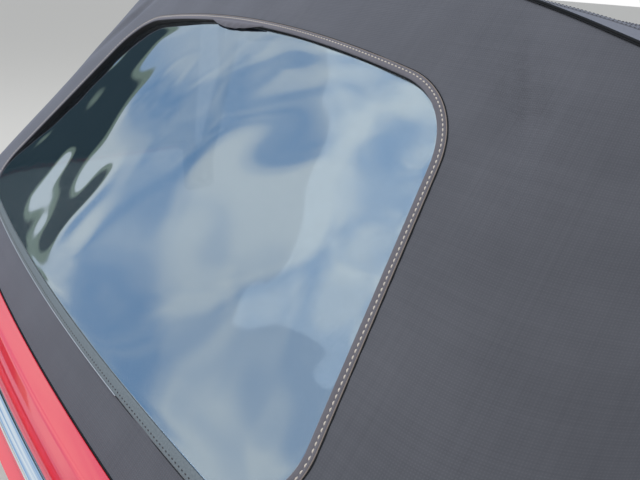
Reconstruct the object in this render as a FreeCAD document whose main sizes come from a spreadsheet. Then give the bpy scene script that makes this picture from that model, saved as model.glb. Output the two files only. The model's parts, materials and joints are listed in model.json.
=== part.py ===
"""Folding soft top of a small two-seat open car, closed, with its flexible rear window.

Row frame, millimetres: +X to the car's right, +Y forward, +Z up.  The origin is at the rear
centre of the hem, on the underside of the rail that clamps the fabric to the rear deck.
"""
import FreeCAD, Part
import math
import os
import re

import Sketcher
from FreeCAD import Rotation, Vector

os.makedirs("parts", exist_ok=True)
doc = FreeCAD.newDocument("SoftTop")

# Driving dimensions, one row each: alias, value, meaning
SIZES = [
    ("hem_height", 6, "height of the fabric's lower edge above the rail's underside"),
    ("deck_half_width", 650, "half width of the hem line beside the seats"),
    ("deck_arc_radius", 4630, "plan radius of the hem line under the window"),
    ("deck_corner", 163, "reach of the hem line's corners across the car, beside that arc"),
    ("quarter_front", 560, "front edge of the fabric quarters, behind the door glass"),
    ("bow_apex_y", 420, "rear bow seam, middle, forward of the hem"),
    ("bow_apex_height", 426.5, "rear bow seam, middle, above the hem"),
    ("bow_arc_radius", 1651, "radius of the rear bow's crown"),
    ("bow_lean", 24.8, "degrees that the rear bow's crown leans from upright"),
    ("bow_corner", 159.5, "reach of its corners across the car, beside its crown"),
    ("shoulder_fall", 8.6, "degrees that the roof's side edge falls forward where it leaves the corner"),
    ("shoulder_narrowing", 65, "roof's side edges, inside the hem line beside the seats"),
    ("main_bow_y", 600, "main bow, forward of the hem"),
    ("main_bow_rise", 92, "main bow's crown above the roof's side edges"),
    ("front_bow_y", 850, "front bow, forward of the hem"),
    ("front_bow_narrowing", 15, "roof's side edge at the front bow, inside that at the main bow"),
    ("front_bow_edge_fall", 4, "roof's side edge at the front bow, below that at the main bow"),
    ("front_bow_rise", 64, "front bow's crown above the roof's side edges there"),
    ("header_apex_y", 1110, "front edge of the header, middle"),
    ("header_end_y", 1065, "front edge of the header, at its ends"),
    ("header_narrowing", 40, "header's ends, inside the roof's side edge at the main bow"),
    ("header_edge_fall", 16, "roof's side edge at the header, below that at the main bow"),
    ("header_rise", 45, "header's crown above its ends"),
    ("header_depth", 60, "header, front to back"),
    ("header_height", 15.6, "header's lower face under the roof's edge"),
    ("cloth", 3, "thickness of the roof fabric with its lining"),
    ("tape", 1.2, "thickness of the tapes and hems sewn on the fabric"),
    ("seam_gap", 0.4, "gap between pieces of fabric on different bodies"),
    ("pane_thickness", 2, "thickness of the clear window sheet with its sewn edge"),
    ("window_bottom_margin", 43, "window's lower corners, inside the ends of the hem line's arc"),
    ("window_top_margin", 75.5, "window's upper corners, inside the ends of the bow's crown"),
    ("window_bottom", 56, "lower edge of the window, middle, up the slope from the hem"),
    ("window_bottom_corner", 73, "lower corners of the window, up the slope"),
    ("window_top", 475, "upper edge of the window, middle, up the slope"),
    ("window_top_corner", 445.5, "upper corners of the window, up the slope"),
    ("window_top_radius", 92, "radius of the upper corners"),
    ("window_bottom_radius", 60, "radius of the lower corners"),
    ("window_cut_depth", 60, "how far the window's outline is drawn through the fabric, each way"),
    ("tape_width", 12, "width of the woven tape round the window"),
    ("border_width", 16, "width of the vinyl border under the window"),
    ("hem_width", 20, "height of the hem band"),
    ("zip_width", 10, "width of the zip behind the window's edge"),
    ("rail_width", 17.5, "width of the steel rail under the hem"),
    ("rail_outset", 1.5, "rail's rear edge, behind the hem line"),
    ("rail_thickness", 3, "thickness of the steel rail"),
    ("rail_bolt_spacing", 400, "distance between the rail's two rear bolts"),
    ("rail_bolt_radius", 3.3, "radius of the rail's bolt holes"),
    ("seal_width", 5.5, "width of the rubber strip under the hem"),
    ("panel_gap", 0.5, "gap between the painted deck collar and the seal"),
    ("collar_slope_width", 28, "painted deck collar, width of its top face"),
    ("collar_edge_width", 18, "painted deck collar, width of its falling edge"),
    ("collar_flange_width", 20, "painted deck collar, width of the ledge under the bright strip"),
    ("collar_sheet", 2, "thickness of the painted deck collar"),
    ("collar_drop", 20, "height of the collar's inner edge above its ledge"),
    ("bright_width", 14, "width of the bright strip"),
    ("bright_height", 11, "height of the bright strip"),
    ("pivot_y", 540, "main pivot, forward of the hem"),
    ("pivot_height", -64, "main pivot, above the rail's underside"),
    ("elbow_y", 640, "elbow pivot, forward of the hem"),
    ("pin_radius", 6, "radius of the main pivot pins"),
    ("elbow_pin_radius", 5, "radius of the elbow pins"),
    ("running_gap", 0.05, "radial running clearance at the pins"),
    ("pillar_inset", 3, "pillar's outer face, inside the roof's side edge"),
    ("pillar_plate", 8, "thickness of the pillar"),
    ("bracket_gap", 5, "gap between the pillar and the main bracket outside it"),
    ("bracket_plate", 6, "thickness of the main bracket"),
    ("bracket_length", 80, "main bracket, front to back"),
    ("bracket_reach", 40, "main bracket's lower edge, under the main pivot"),
    ("bracket_bolt_spacing", 56, "distance between the bracket's bolts, both ways"),
    ("bracket_bolt_radius", 4.2, "radius of the bracket's bolt holes"),
    ("bracket_corner", 14, "radius of the bracket's lower corners"),
    ("gusset_plate", 5, "thickness of the rib between the bracket's plate and its flange"),
    ("gusset_reach", 34, "reach of that rib down the plate and along the flange"),
    ("pin_head_radius", 10, "radius of the main pivot pin's head"),
    ("pin_head", 4, "thickness of that head"),
    ("pin_slack", 2, "gap between the pin's head and the rear bow's arm"),
    ("pin_stand", 4, "main pivot pin's end outside the bracket"),
    ("clip_radius", 8.5, "radius of the spring clip on the pin's end"),
    ("clip_plate", 1.5, "thickness of that clip"),
    ("elbow_head_radius", 8, "radius of the elbow pin's head"),
    ("elbow_head", 2.5, "thickness of that head, inside the side rail"),
    ("elbow_stand", 1, "elbow pin's end outside the pillar"),
    ("arm_gap", 6, "gap between the pillar and the rear bow's arm inside it"),
    ("arm_plate", 6, "thickness of the rear bow's arm"),
    ("pillar_foot_radius", 20, "radius of the pillar's eye at the main pivot"),
    ("pillar_head_radius", 14, "radius of the pillar's eye at the elbow"),
    ("pillar_rim", 5, "rim round the recess in the pillar's outer face"),
    ("pillar_recess", 3, "depth of that recess"),
    ("arm_foot_radius", 16, "radius of the rear bow's arm at the main pivot"),
    ("arm_tip_radius", 6.5, "radius of the arm's tip, slotted into the bow's tube"),
    ("rail_clearance", 5, "gap between the main bow's legs and the side rail inside them"),
    ("side_rail_width", 16, "width of the side rail"),
    ("side_rail_height", 20, "height of the side rail"),
    ("side_rail_front", 1046, "front end of the side rail"),
    ("channel_width", 10, "width of the channel under the side rail that holds its seal"),
    ("channel_depth", 8, "depth of that channel"),
    ("channel_start", 20, "rear end of that channel, forward of the elbow"),
    ("bulb_radius", 6, "radius of the side seal's bulb"),
    ("bulb_bore", 3.5, "radius of the hollow in that bulb"),
    ("bulb_bury", 2, "how far that bulb's round sits in its foot"),
    ("rear_bow_margin", 50.5, "rear bow's bends, inside the ends of the seam's crown"),
    ("rear_bow_corner", 62, "reach of the rear bow's bends to each side of their knee"),
    ("leg_bend_height", 130, "bend of the rear bow's leg into the arm's plane, above the main pivot"),
    ("leg_bend_reach", 25, "reach of that bend to each side of its knee"),
    ("bow_arm_length", 90, "flat arm under each leg of the rear bow"),
    ("bow_half", 7, "half width of the bows' square steel tube"),
    ("main_bow_corner", 27, "reach of the main bow's bends across the car"),
    ("bow_pad_depth", 20, "pads that carry the main bow on the pillars, front to back"),
    ("bow_pad_height", 24, "height of those pads"),
    ("bow_chamfer", 2.5, "chamfer along the edges of that tube"),
    ("front_bow_gap", 2.2, "gap between the front bow and the fabric over it"),
    ("main_bow_gap", 2.2, "gap between the main bow and the fabric over it"),
    ("rear_bow_gap", 2.4, "gap between the rear bow and the seam over it"),
    ("header_gap", 0.5, "gap between the header and the fabric over it"),
    ("header_seat", 0.3, "gap between the header's ends and the side rails under them"),
    ("header_front_gap", 0.5, "header's front face, behind the fabric's front edge"),
    ("header_seal_front", 4, "header seal's front, behind that edge"),
    ("header_seal_rear", 16, "header seal's rear, behind that edge"),
    ("header_seal_height", 10, "height of the header seal"),
    ("latch_inset", 215, "header latches, inside the header's ends"),
    ("latch_setback", 38.4, "latch hinge, behind the header's front edge"),
    ("latch_width", 26, "width of a latch handle"),
    ("latch_length", 110, "length of a latch handle"),
    ("latch_grip_radius", 4, "half thickness of the handle at its grip"),
    ("latch_eye_radius", 8, "half thickness of the handle at its hinge"),
    ("latch_pin_radius", 3, "radius of the hinge pin"),
    ("latch_drop", 20, "latch hinge, under the header's lower face"),
    ("latch_side_gap", 2, "gap between the handle and each ear"),
    ("latch_ear", 6, "thickness of an ear of the latch base"),
    ("latch_ear_radius", 10, "radius of an ear round the hinge"),
    ("latch_plate", 6, "thickness of the latch base's plate"),
    ("latch_base_depth", 40, "latch base, front to back"),
    ("latch_bury", 10, "how far the base is drawn into the header before it is cut by it"),
    ("latch_recess_width", 16, "width of the finger recess in the handle"),
    ("latch_recess", 2, "depth of that recess"),
]

# Planes worked out from them, stacked inward from the roof's side edge
PLANES = [
    ("deck_arc_half", "=deck_half_width - deck_corner", "half width of the hem line's arc"),
    ("shoulder_half_width", "=deck_half_width - shoulder_narrowing", "half width of the roof"),
    ("bow_arc_half", "=shoulder_half_width - bow_corner", "half width of the rear bow's crown"),
    ("window_bottom_half", "=deck_arc_half - window_bottom_margin", "half width of the window, below"),
    ("window_top_half", "=bow_arc_half - window_top_margin", "half width of the window, above"),
    ("latch_x", "=shoulder_half_width - header_narrowing - latch_inset", "latches, from the middle"),
    ("pillar_inner", "=shoulder_half_width - pillar_inset - pillar_plate", "pillar's inner face"),
    ("pillar_outer", "=pillar_inner + pillar_plate", "pillar's outer face"),
    ("bracket_inner", "=pillar_outer + bracket_gap", "main bracket's inner face"),
    ("bracket_outer", "=bracket_inner + bracket_plate", "main bracket's outer face"),
    ("arm_inner", "=pillar_inner - arm_gap - arm_plate", "inner face of the rear bow's arm"),
    ("rail_outer", "=pillar_inner - 2 * bow_half - rail_clearance", "side rail's outer face"),
    ("rail_inner", "=rail_outer - side_rail_width", "side rail's inner face"),
    ("flange_end", "=deck_half_width + rail_outset - rail_width", "where bracket and rear rail meet"),
]

sheet = doc.addObject("Spreadsheet::Sheet", "Sizes")
rows = 0


def add_row(alias, content, meaning):
    """One named row of the sheet: a number or a formula over other rows."""
    global rows
    rows += 1
    sheet.set("A%d" % rows, alias)
    sheet.set("B%d" % rows, str(content))
    sheet.set("C%d" % rows, meaning)
    sheet.setAlias("B%d" % rows, alias)


for alias, content, meaning in SIZES + PLANES:
    add_row(alias, content, meaning)
doc.recompute()


def size(alias):
    """Value of one row of the sheet."""
    return float(sheet.get(alias))


SIDES = (("left", -1), ("right", 1))
FABRIC_PARTS = 6  # pieces of each corner of the fabric
hem_z = size("hem_height")
cloth = size("cloth")


# Curves of the fabric

def line(start, end):
    return Part.makeLine(start, end)


def arc(start, middle, end):
    return Part.Arc(start, middle, end).toShape()


def corner(start, knee, end):
    """Arc that turns from start towards knee into the line from knee to end, both as long."""
    to_start = (start - knee).normalize()
    to_end = (end - knee).normalize()
    reach = (start - knee).Length
    half_angle = to_start.getAngle(to_end) / 2
    bisector = (to_start + to_end).normalize()
    radius = reach * math.tan(half_angle)
    middle = knee + bisector * (reach / math.cos(half_angle) - radius)
    return arc(start, middle, end)


def in_parts(edge, count):
    """The same edge in as many equal pieces, so that a twisted face on it needs few facets."""
    first, last = edge.FirstParameter, edge.LastParameter
    bounds = [first + (last - first) * index / count for index in range(count + 1)]
    return [edge.Curve.toShape(a, b) for a, b in zip(bounds, bounds[1:])]


def mirrored(point):
    return Vector(-point.x, point.y, point.z)


def five_edges(centre, end, knee, turn, front, parts):
    """Left side, left corner, centre arc, right corner and right side, from left to right."""
    return [
        line(mirrored(front), mirrored(turn)),
        *in_parts(corner(mirrored(turn), mirrored(knee), mirrored(end)), parts),
        arc(mirrored(end), centre, end),
        *in_parts(corner(end, knee, turn), parts),
        line(turn, front),
    ]


def hem_points(inset, height):
    """Points of the hem line, moved inward by inset, at a height."""
    half = size("deck_arc_half")
    radius = size("deck_arc_radius")
    side = size("deck_half_width") - inset
    sagitta = radius - math.sqrt(radius ** 2 - half ** 2)
    slope = half / math.sqrt(radius ** 2 - half ** 2)
    end = Vector(half, inset + sagitta, height)
    knee = Vector(side, end.y + slope * (side - half), height)
    turn = Vector(side, knee.y + (knee - end).Length, height)
    front = Vector(side, size("quarter_front"), height)
    return Vector(0, inset, height), end, knee, turn, front


def hem_curve(inset, height, parts=1):
    return five_edges(*hem_points(inset, height), parts)


def shoulder_points(inset, side_gap=0.0):
    """Points of the rear bow's seam and the roof's side edges, moved inside by inset."""
    half = size("bow_arc_half")
    radius = size("bow_arc_radius")
    lean = math.radians(size("bow_lean"))
    down = Vector(0, -math.sin(lean), -math.cos(lean))
    slope_angle = math.atan2(size("bow_apex_height"), size("bow_apex_y"))
    forward = inset * (1 - math.cos(slope_angle)) / math.sin(slope_angle)
    apex = Vector(0, size("bow_apex_y") + forward, hem_z + size("bow_apex_height") - inset)
    sagitta = radius - math.sqrt(radius ** 2 - half ** 2)
    turn_angle = math.asin(half / radius)
    end = apex + down * sagitta + Vector(half, 0, 0)
    side = size("shoulder_half_width") - inset - side_gap
    tangent = Vector(math.cos(turn_angle), 0, 0) + down * math.sin(turn_angle)
    knee = end + tangent * ((side - half) / math.cos(turn_angle))
    fall = math.radians(size("shoulder_fall"))
    forward_down = Vector(0, math.cos(fall), -math.sin(fall))
    turn = knee + forward_down * (knee - end).Length
    front = turn + forward_down * ((size("quarter_front") - turn.y) / math.cos(fall))
    return apex, end, knee, turn, front


def shoulder_curve(inset):
    return five_edges(*shoulder_points(inset), FABRIC_PARTS)


# Heights that step down from the side edge behind the doors to the header and the side rails

edge_height = shoulder_points(0)[4].z
front_edge = edge_height - size("front_bow_edge_fall")
header_edge = edge_height - size("header_edge_fall")
edge_fall = (front_edge - header_edge) / (size("header_end_y") - size("front_bow_y"))
header_bottom = size("header_height")
rail_top = header_edge + min(0, size("header_depth") * edge_fall) - header_bottom - size("header_seat")
add_row("elbow_height", rail_top - size("side_rail_height") / 2, "elbow pivot, above the rail's underside")
doc.recompute()
print("side edge", edge_height, "elbow", size("elbow_height"))


def split_arch(y, half_width, edge_z, rise, split):
    """Crowned arch across the car in arcs that match the corners and the crown of the bow."""
    radius = (half_width ** 2 + rise ** 2) / (2 * rise)

    def at(x):
        return Vector(x, y, edge_z + rise - radius + math.sqrt(radius ** 2 - x ** 2))

    between = (half_width + split) / 2
    return [
        *in_parts(arc(at(-half_width), at(-between), at(-split)), FABRIC_PARTS),
        arc(at(-split), at(0), at(split)),
        *in_parts(arc(at(split), at(between), at(half_width)), FABRIC_PARTS),
    ]


def closed_solid(faces):
    """Solid inside a set of faces that meet edge to edge."""
    shell = Part.makeShell(faces)
    shell.sewShape()
    solid = Part.makeSolid(shell)
    if solid.Volume < 0:
        solid.reverse()
    return solid


def end_point(edges, at_end):
    """First or last point of a row of edges."""
    edge = edges[-1] if at_end else edges[0]
    return edge.valueAt(edge.LastParameter if at_end else edge.FirstParameter)


def row_shift(first, second):
    """Vector from one row to the next where the second is the first one moved, else None."""
    shifts = []
    for a, b in zip(first, second):
        for share in (0.0, 0.5, 1.0):
            shifts.append(
                b.valueAt(b.FirstParameter + share * (b.LastParameter - b.FirstParameter))
                - a.valueAt(a.FirstParameter + share * (a.LastParameter - a.FirstParameter)))
    spread = max((shift - shifts[0]).Length for shift in shifts)
    return shifts[0] if spread < 1e-6 else None


def strip(first, second):
    """Faces between two rows of edges: flat, swept straight or ruled."""
    heights = [vertex.Z for edge in first + second for vertex in edge.Vertexes]
    heights += [edge.valueAt((edge.FirstParameter + edge.LastParameter) / 2).z for edge in first + second]
    if max(heights) - min(heights) < 1e-6:
        ends = [line(end_point(first, at_end), end_point(second, at_end)) for at_end in (False, True)]
        return [Part.Face(Part.Wire(Part.__sortEdges__(first + second + ends)))]
    shift = row_shift(first, second)
    if shift is not None:
        return [edge.extrude(shift) for edge in first]
    return [Part.makeRuledSurface(a, b) for a, b in zip(first, second)]


def ring_solid(rows):
    """Solid swept between rows of edges that go once round its section."""
    faces = []
    for index, row in enumerate(rows):
        faces += strip(row, rows[(index + 1) % len(rows)])
    for at_end in (False, True):
        points = [end_point(row, at_end) for row in rows]
        if len(points) == 4:
            faces.append(Part.makeRuledSurface(line(points[0], points[1]), line(points[3], points[2])))
        else:
            faces.append(Part.Face(Part.makePolygon(points + points[:1])))
    return closed_solid(faces)


def fabric_layer(outer, inner):
    """Layer of the rear skin between two depths under its outer face."""
    return ring_solid([
        hem_curve(outer, hem_z, FABRIC_PARTS), shoulder_curve(outer),
        shoulder_curve(inner), hem_curve(inner, hem_z, FABRIC_PARTS),
    ])


def hem_band(profile):
    """Solid that follows the hem line with a closed profile of (inset, height) points."""
    return ring_solid([hem_curve(inset, height) for inset, height in profile])


# Window outline on the slope

slope_angle = math.atan2(size("bow_apex_height"), size("bow_apex_y"))
slope_up = Vector(0, math.cos(slope_angle), math.sin(slope_angle))
slope_out = Vector(0, -math.sin(slope_angle), math.cos(slope_angle))


def on_slope(x, up, out=0.0):
    return Vector(x, 0, hem_z) + slope_up * up + slope_out * out


def window_prism(grow, lowest=None):
    """Prism through the fabric with the window's outline, grown outward by a distance."""
    bottom_half = size("window_bottom_half")
    top_half = size("window_top_half")
    low = size("window_bottom_corner")
    high = size("window_top_corner")
    lean = math.atan2(bottom_half - top_half, high - low)
    side_grow = grow / math.cos(lean)
    taper = math.tan(lean)
    bottom = low - grow
    top = high + grow
    bottom_x = bottom_half + side_grow + grow * taper
    top_x = top_half + side_grow - grow * taper
    depth = size("window_cut_depth")
    corners = [on_slope(x, up, -depth) for x, up in (
        (-bottom_x, bottom), (bottom_x, bottom), (top_x, top), (-top_x, top))]
    wire = Part.Wire([
        arc(corners[0], on_slope(0, size("window_bottom") - grow, -depth), corners[1]),
        line(corners[1], corners[2]),
        arc(corners[2], on_slope(0, size("window_top") + grow, -depth), corners[3]),
        line(corners[3], corners[0]),
    ])
    prism = Part.Face(wire).extrude(slope_out * 2 * depth)
    for radius, up in ((size("window_top_radius"), top), (size("window_bottom_radius"), bottom)):
        edges = [
            edge for edge in prism.Edges
            if abs((edge.Vertexes[0].Point - edge.Vertexes[-1].Point).dot(slope_out)) > depth
            and abs((edge.Vertexes[0].Point - Vector(0, 0, hem_z)).dot(slope_up) - up) < 1
        ]
        prism = prism.makeFillet(radius + grow, edges)
    if lowest is not None:
        reach = 2 * size("deck_half_width")
        keep = Part.makeBox(2 * reach, 2 * reach, 4 * depth)
        keep.Placement = FreeCAD.Placement(
            on_slope(-reach, lowest, -2 * depth),
            FreeCAD.Rotation(Vector(1, 0, 0), slope_up, slope_out, "XYZ"))
        prism = prism.common(keep)
    return prism


# Objects of the document

nodes = []


def feature(label, shape):
    """Sub-part whose shape is worked out above."""
    item = doc.addObject("Part::Feature", label)
    item.Label = label
    if shape.ShapeType == "Compound" and len(shape.Solids) == 1:
        shape = shape.Solids[0]
    item.Shape = shape
    nodes.append(item)
    return item


def bar(path, half):
    """Square tube with chamfered edges along a path of tangent lines and arcs."""
    wire = Part.Wire(path)
    first = path[0]
    start = first.valueAt(first.FirstParameter)
    along = first.tangentAt(first.FirstParameter)
    side = (Vector(0, 1, 0) - along * along.y).normalize()
    up = along.cross(side)
    flat = half - size("bow_chamfer")
    profile = Part.makePolygon([
        start + side * a + up * b for a, b in (
            (half, flat), (flat, half), (-flat, half), (-half, flat),
            (-half, -flat), (-flat, -half), (flat, -half), (half, -flat), (half, flat))])
    return wire.makePipeShell([profile], True, False)


def x_cylinder(radius, x_start, x_end, y, z):
    low, high = sorted((x_start, x_end))
    return Part.makeCylinder(radius, high - low, Vector(low, y, z), Vector(1, 0, 0))


def x_box(x_start, x_end, y, z, depth, height):
    low, high = sorted((x_start, x_end))
    return Part.makeBox(high - low, depth, height, Vector(low, y, z))


def link(side, inner, plate, start, end, half_width, start_hole, end_hole):
    """Flat steel link in an upright plane, round at its pinned ends."""
    near, far = sorted((side * inner, side * (inner + plate)))
    along = (end - start).normalize()
    across = Vector(0, -along.z, along.y) * half_width
    offset = Vector(near, 0, 0)
    cap_start = half_width if start_hole else 0
    points = [start + across, end + across, end - across, start - across]
    outline = [line(points[0] + offset, points[1] + offset)]
    if end_hole:
        outline.append(arc(points[1] + offset, end + along * half_width + offset, points[2] + offset))
    else:
        outline.append(line(points[1] + offset, points[2] + offset))
    outline.append(line(points[2] + offset, points[3] + offset))
    if cap_start:
        outline.append(arc(points[3] + offset, start - along * half_width + offset, points[0] + offset))
    else:
        outline.append(line(points[3] + offset, points[0] + offset))
    plate_solid = Part.Face(Part.Wire(outline)).extrude(Vector(far - near, 0, 0))
    for hole, centre in ((start_hole, start), (end_hole, end)):
        if hole:
            plate_solid = plate_solid.cut(x_cylinder(hole, near - 1, far + 1, centre.y, centre.z))
    return plate_solid


# Rear fabric and window

opening = window_prism(0)
feature("rear_skin", fabric_layer(0, cloth).cut(opening))
pane_depth = (cloth - size("pane_thickness")) / 2
feature("rear_window", fabric_layer(pane_depth, pane_depth + size("pane_thickness")).common(opening))
over_layer = fabric_layer(-size("tape"), 0)
tape_low = size("window_bottom_corner")
feature("window_binding", over_layer.common(window_prism(size("tape_width"), tape_low)).cut(opening))
border_zone = window_prism(size("border_width"))
border_zone = border_zone.cut(window_prism(size("border_width") + 1, tape_low)).cut(opening)
feature("window_lower_border", over_layer.common(border_zone))
under_layer = fabric_layer(cloth, cloth + size("tape"))
feature("window_zip", under_layer.common(window_prism(size("zip_width"), tape_low)).cut(opening))
reach = 2 * size("deck_half_width")
band_zone = Part.makeBox(
    2 * reach, 2 * reach, size("hem_width"), Vector(-reach, -reach / 2, hem_z + size("tape")))
feature("hem_band", under_layer.common(band_zone))

# Rail, seal, painted deck collar and bright strip

outset = size("rail_outset")
rail = hem_band([
    (-outset, 0), (-outset, size("rail_thickness")),
    (size("rail_width") - outset, size("rail_thickness")), (size("rail_width") - outset, 0),
])
bolt_inset = size("rail_width") / 2 - outset + 2
bolt_half = size("rail_bolt_spacing") / 2
deck_radius = size("deck_arc_radius")
bolt_y = bolt_inset + deck_radius - math.sqrt(deck_radius ** 2 - bolt_half ** 2)
for side in (-1, 1):
    rail = rail.cut(Part.makeCylinder(
        size("rail_bolt_radius"), 3 * size("rail_thickness"),
        Vector(side * bolt_half, bolt_y, -size("rail_thickness"))))
feature("rear_rail", rail)
feature("deck_seal", hem_band([
    (-outset, size("rail_thickness")), (-outset, hem_z),
    (size("seal_width") - outset, hem_z), (size("seal_width") - outset, size("rail_thickness")),
]))
wall = -outset - size("panel_gap")
metal = size("collar_sheet")
slope_end = -size("collar_slope_width")
edge_end = slope_end - size("collar_edge_width")
flange_end = edge_end - size("collar_flange_width")
ledge = hem_z - size("collar_drop")
feature("deck_collar", hem_band([
    (wall, ledge), (wall, hem_z - 0.5), (slope_end, hem_z - 4), (slope_end - 12, hem_z - 10),
    (edge_end, ledge), (flange_end, ledge), (flange_end, ledge - metal), (edge_end + 2, ledge - metal),
    (slope_end - 10.6, hem_z - 11.8), (slope_end + 0.6, hem_z - 6), (wall - metal, hem_z - 2.6),
    (wall - metal, ledge),
]))
bright_in = edge_end - 2
bright_out = bright_in - size("bright_width")
bright_top = ledge + size("bright_height")
feature("bright_strip", hem_band([
    (bright_in, ledge), (bright_in, bright_top - 3), (bright_in - 3, bright_top),
    (bright_out + 3, bright_top), (bright_out, bright_top - 3), (bright_out, ledge),
]))

# Bows: square tubes bent to the fabric over them

pillar_inner = size("pillar_inner")
rail_inner = size("rail_inner")
pivot = Vector(0, size("pivot_y"), size("pivot_height"))
elbow = Vector(0, size("elbow_y"), size("elbow_height"))
bow_half = size("bow_half")
front_inset = cloth + size("front_bow_gap") + bow_half
arm_plane = size("arm_inner") + size("arm_plate") / 2

crown = shoulder_points(cloth + size("rear_bow_gap") + bow_half)[0]
lean = math.radians(size("bow_lean"))
crown_down = Vector(0, -math.sin(lean), -math.cos(lean))
crown_half = size("bow_arc_half") - size("rear_bow_margin")
crown_radius = size("bow_arc_radius")
crown_turn = math.asin(crown_half / crown_radius)
crown_sagitta = crown_radius * (1 - math.cos(crown_turn))
crown_end = crown + crown_down * crown_sagitta + Vector(crown_half, 0, 0)
crown_tangent = Vector(math.cos(crown_turn), 0, 0) + crown_down * math.sin(crown_turn)
crown_knee = crown_end + crown_tangent * size("rear_bow_corner")
pivot_at_arm = Vector(arm_plane, pivot.y, pivot.z)
leg_share = size("leg_bend_height") / (crown_knee.z - pivot.z)
leg_knee = pivot_at_arm + (crown_knee - pivot_at_arm) * leg_share
leg_knee.x = arm_plane
leg_direction = (leg_knee - crown_knee).normalize()
arm_direction = (pivot_at_arm - leg_knee).normalize()
leg_start = crown_knee + leg_direction * size("rear_bow_corner")
bend_start = leg_knee - leg_direction * size("leg_bend_reach")
bend_end = leg_knee + arm_direction * size("leg_bend_reach")
leg_end = pivot_at_arm - arm_direction * size("bow_arm_length")
right_leg = [
    corner(crown_end, crown_knee, leg_start),
    line(leg_start, bend_start),
    corner(bend_start, leg_knee, bend_end),
    line(bend_end, leg_end),
]
left_leg = [
    line(mirrored(leg_end), mirrored(bend_end)),
    corner(mirrored(bend_end), mirrored(leg_knee), mirrored(bend_start)),
    line(mirrored(bend_start), mirrored(leg_start)),
    corner(mirrored(leg_start), mirrored(crown_knee), mirrored(crown_end)),
]
rear_bow = bar(left_leg + [arc(mirrored(crown_end), crown, crown_end)] + right_leg, bow_half)
rear_bow_item = feature("rear_bow", rear_bow)

main_plane = pillar_inner - bow_half
main_half = main_plane - size("main_bow_corner")
main_edge = edge_height + size("main_bow_rise")
main_radius = (size("shoulder_half_width") ** 2 + size("main_bow_rise") ** 2) / (2 * size("main_bow_rise"))
main_inset = cloth + size("main_bow_gap") + bow_half
main_crown = Vector(0, size("main_bow_y"), main_edge - main_inset)
main_arc_radius = main_radius - main_inset
main_turn = math.asin(main_half / main_arc_radius)
main_end = Vector(main_half, main_crown.y, main_crown.z - main_arc_radius * (1 - math.cos(main_turn)))
main_reach = (main_plane - main_half) / math.cos(main_turn)
main_knee = main_end + Vector(math.cos(main_turn), 0, -math.sin(main_turn)) * main_reach
main_shoulder = main_knee - Vector(0, 0, main_reach)
pillar_slope = (elbow.z - pivot.z) / (elbow.y - pivot.y)
main_foot = Vector(main_plane, main_crown.y, pivot.z + pillar_slope * (main_crown.y - pivot.y))
main_bow = bar([
    line(mirrored(main_foot), mirrored(main_shoulder)),
    corner(mirrored(main_end), mirrored(main_knee), mirrored(main_shoulder)),
    arc(mirrored(main_end), main_crown, main_end),
    corner(main_end, main_knee, main_shoulder),
    line(main_shoulder, main_foot),
], bow_half)
for _, side in SIDES:
    main_bow = main_bow.fuse(x_box(
        side * (main_plane - bow_half), side * pillar_inner,
        main_foot.y - size("bow_pad_depth") / 2, main_foot.z - size("bow_pad_height") / 2,
        size("bow_pad_depth"), size("bow_pad_height")))
feature("main_bow", main_bow.removeSplitter())

front_half_width = size("shoulder_half_width") - size("front_bow_narrowing")
front_radius = (front_half_width ** 2 + size("front_bow_rise") ** 2) / (2 * size("front_bow_rise"))
front_crown = Vector(0, size("front_bow_y"), front_edge + size("front_bow_rise") - front_inset)
front_arc_radius = front_radius - front_inset
front_half = rail_inner + size("side_rail_width") / 2
front_turn = math.asin(front_half / front_arc_radius)
front_end = Vector(front_half, front_crown.y, front_crown.z - front_arc_radius * (1 - math.cos(front_turn)))
front_bow = bar([arc(mirrored(front_end), front_crown, front_end)], bow_half)
for _, side in SIDES:
    front_bow = front_bow.fuse(x_box(
        side * rail_inner, side * (rail_inner + size("side_rail_width")),
        front_crown.y - bow_half, rail_top, 2 * bow_half, front_end.z - rail_top))
feature("front_bow", front_bow.removeSplitter())

# Links, pins, brackets and rails, drawn for the right side on the sheet's sizes

add_row("arm_tip_y", leg_end.y, "lower end of the rear bow's tube, forward of the hem")
add_row("arm_tip_z", leg_end.z, "lower end of the rear bow's tube, above the rail's underside")
doc.recompute()


def tie(item, path, text):
    """Binds a property to an expression over the sheet's rows, and gives its value now."""
    item.setExpression(path, re.sub(r"[a-z_]+", r"Sizes.\g<0>", text))
    return float(sheet.evalExpression(text))


def new_sketch(body, label, plane, offset="0"):
    """Sketch on one of the body's origin planes, moved off it along its normal."""
    sketch = body.newObject("Sketcher::SketchObject", label)
    origin_plane = [item for item in body.Origin.OriginFeatures if item.Role == plane][0]
    sketch.AttachmentSupport = [(origin_plane, "")]
    sketch.MapMode = "FlatFace"
    tie(sketch, "AttachmentOffset.Base.z", offset)
    return sketch


def tied_constraint(sketch, kind, ends, text):
    """Constraint whose number follows an expression over the sheet's rows."""
    index = sketch.addConstraint(Sketcher.Constraint(kind, *ends, float(sheet.evalExpression(text))))
    tie(sketch, "Constraints[%d]" % index, text)


def place(sketch, geometry, point, at):
    """Ties a point of the sketch to the origin, across and up."""
    for kind, text in zip(("DistanceX", "DistanceY"), at):
        tied_constraint(sketch, kind, (-1, 1, geometry, point), text)


def spot(at):
    """Point in a sketch from its two expressions."""
    return Vector(*[float(sheet.evalExpression(text)) for text in at], 0)


def add_circle(sketch, at, radius):
    """Circle tied by its centre and radius."""
    circle = Part.Circle(spot(at), Vector(0, 0, 1), float(sheet.evalExpression(radius)))
    index = sketch.addGeometry(circle, False)
    place(sketch, index, 3, at)
    tied_constraint(sketch, "Radius", (index,), radius)


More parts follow.
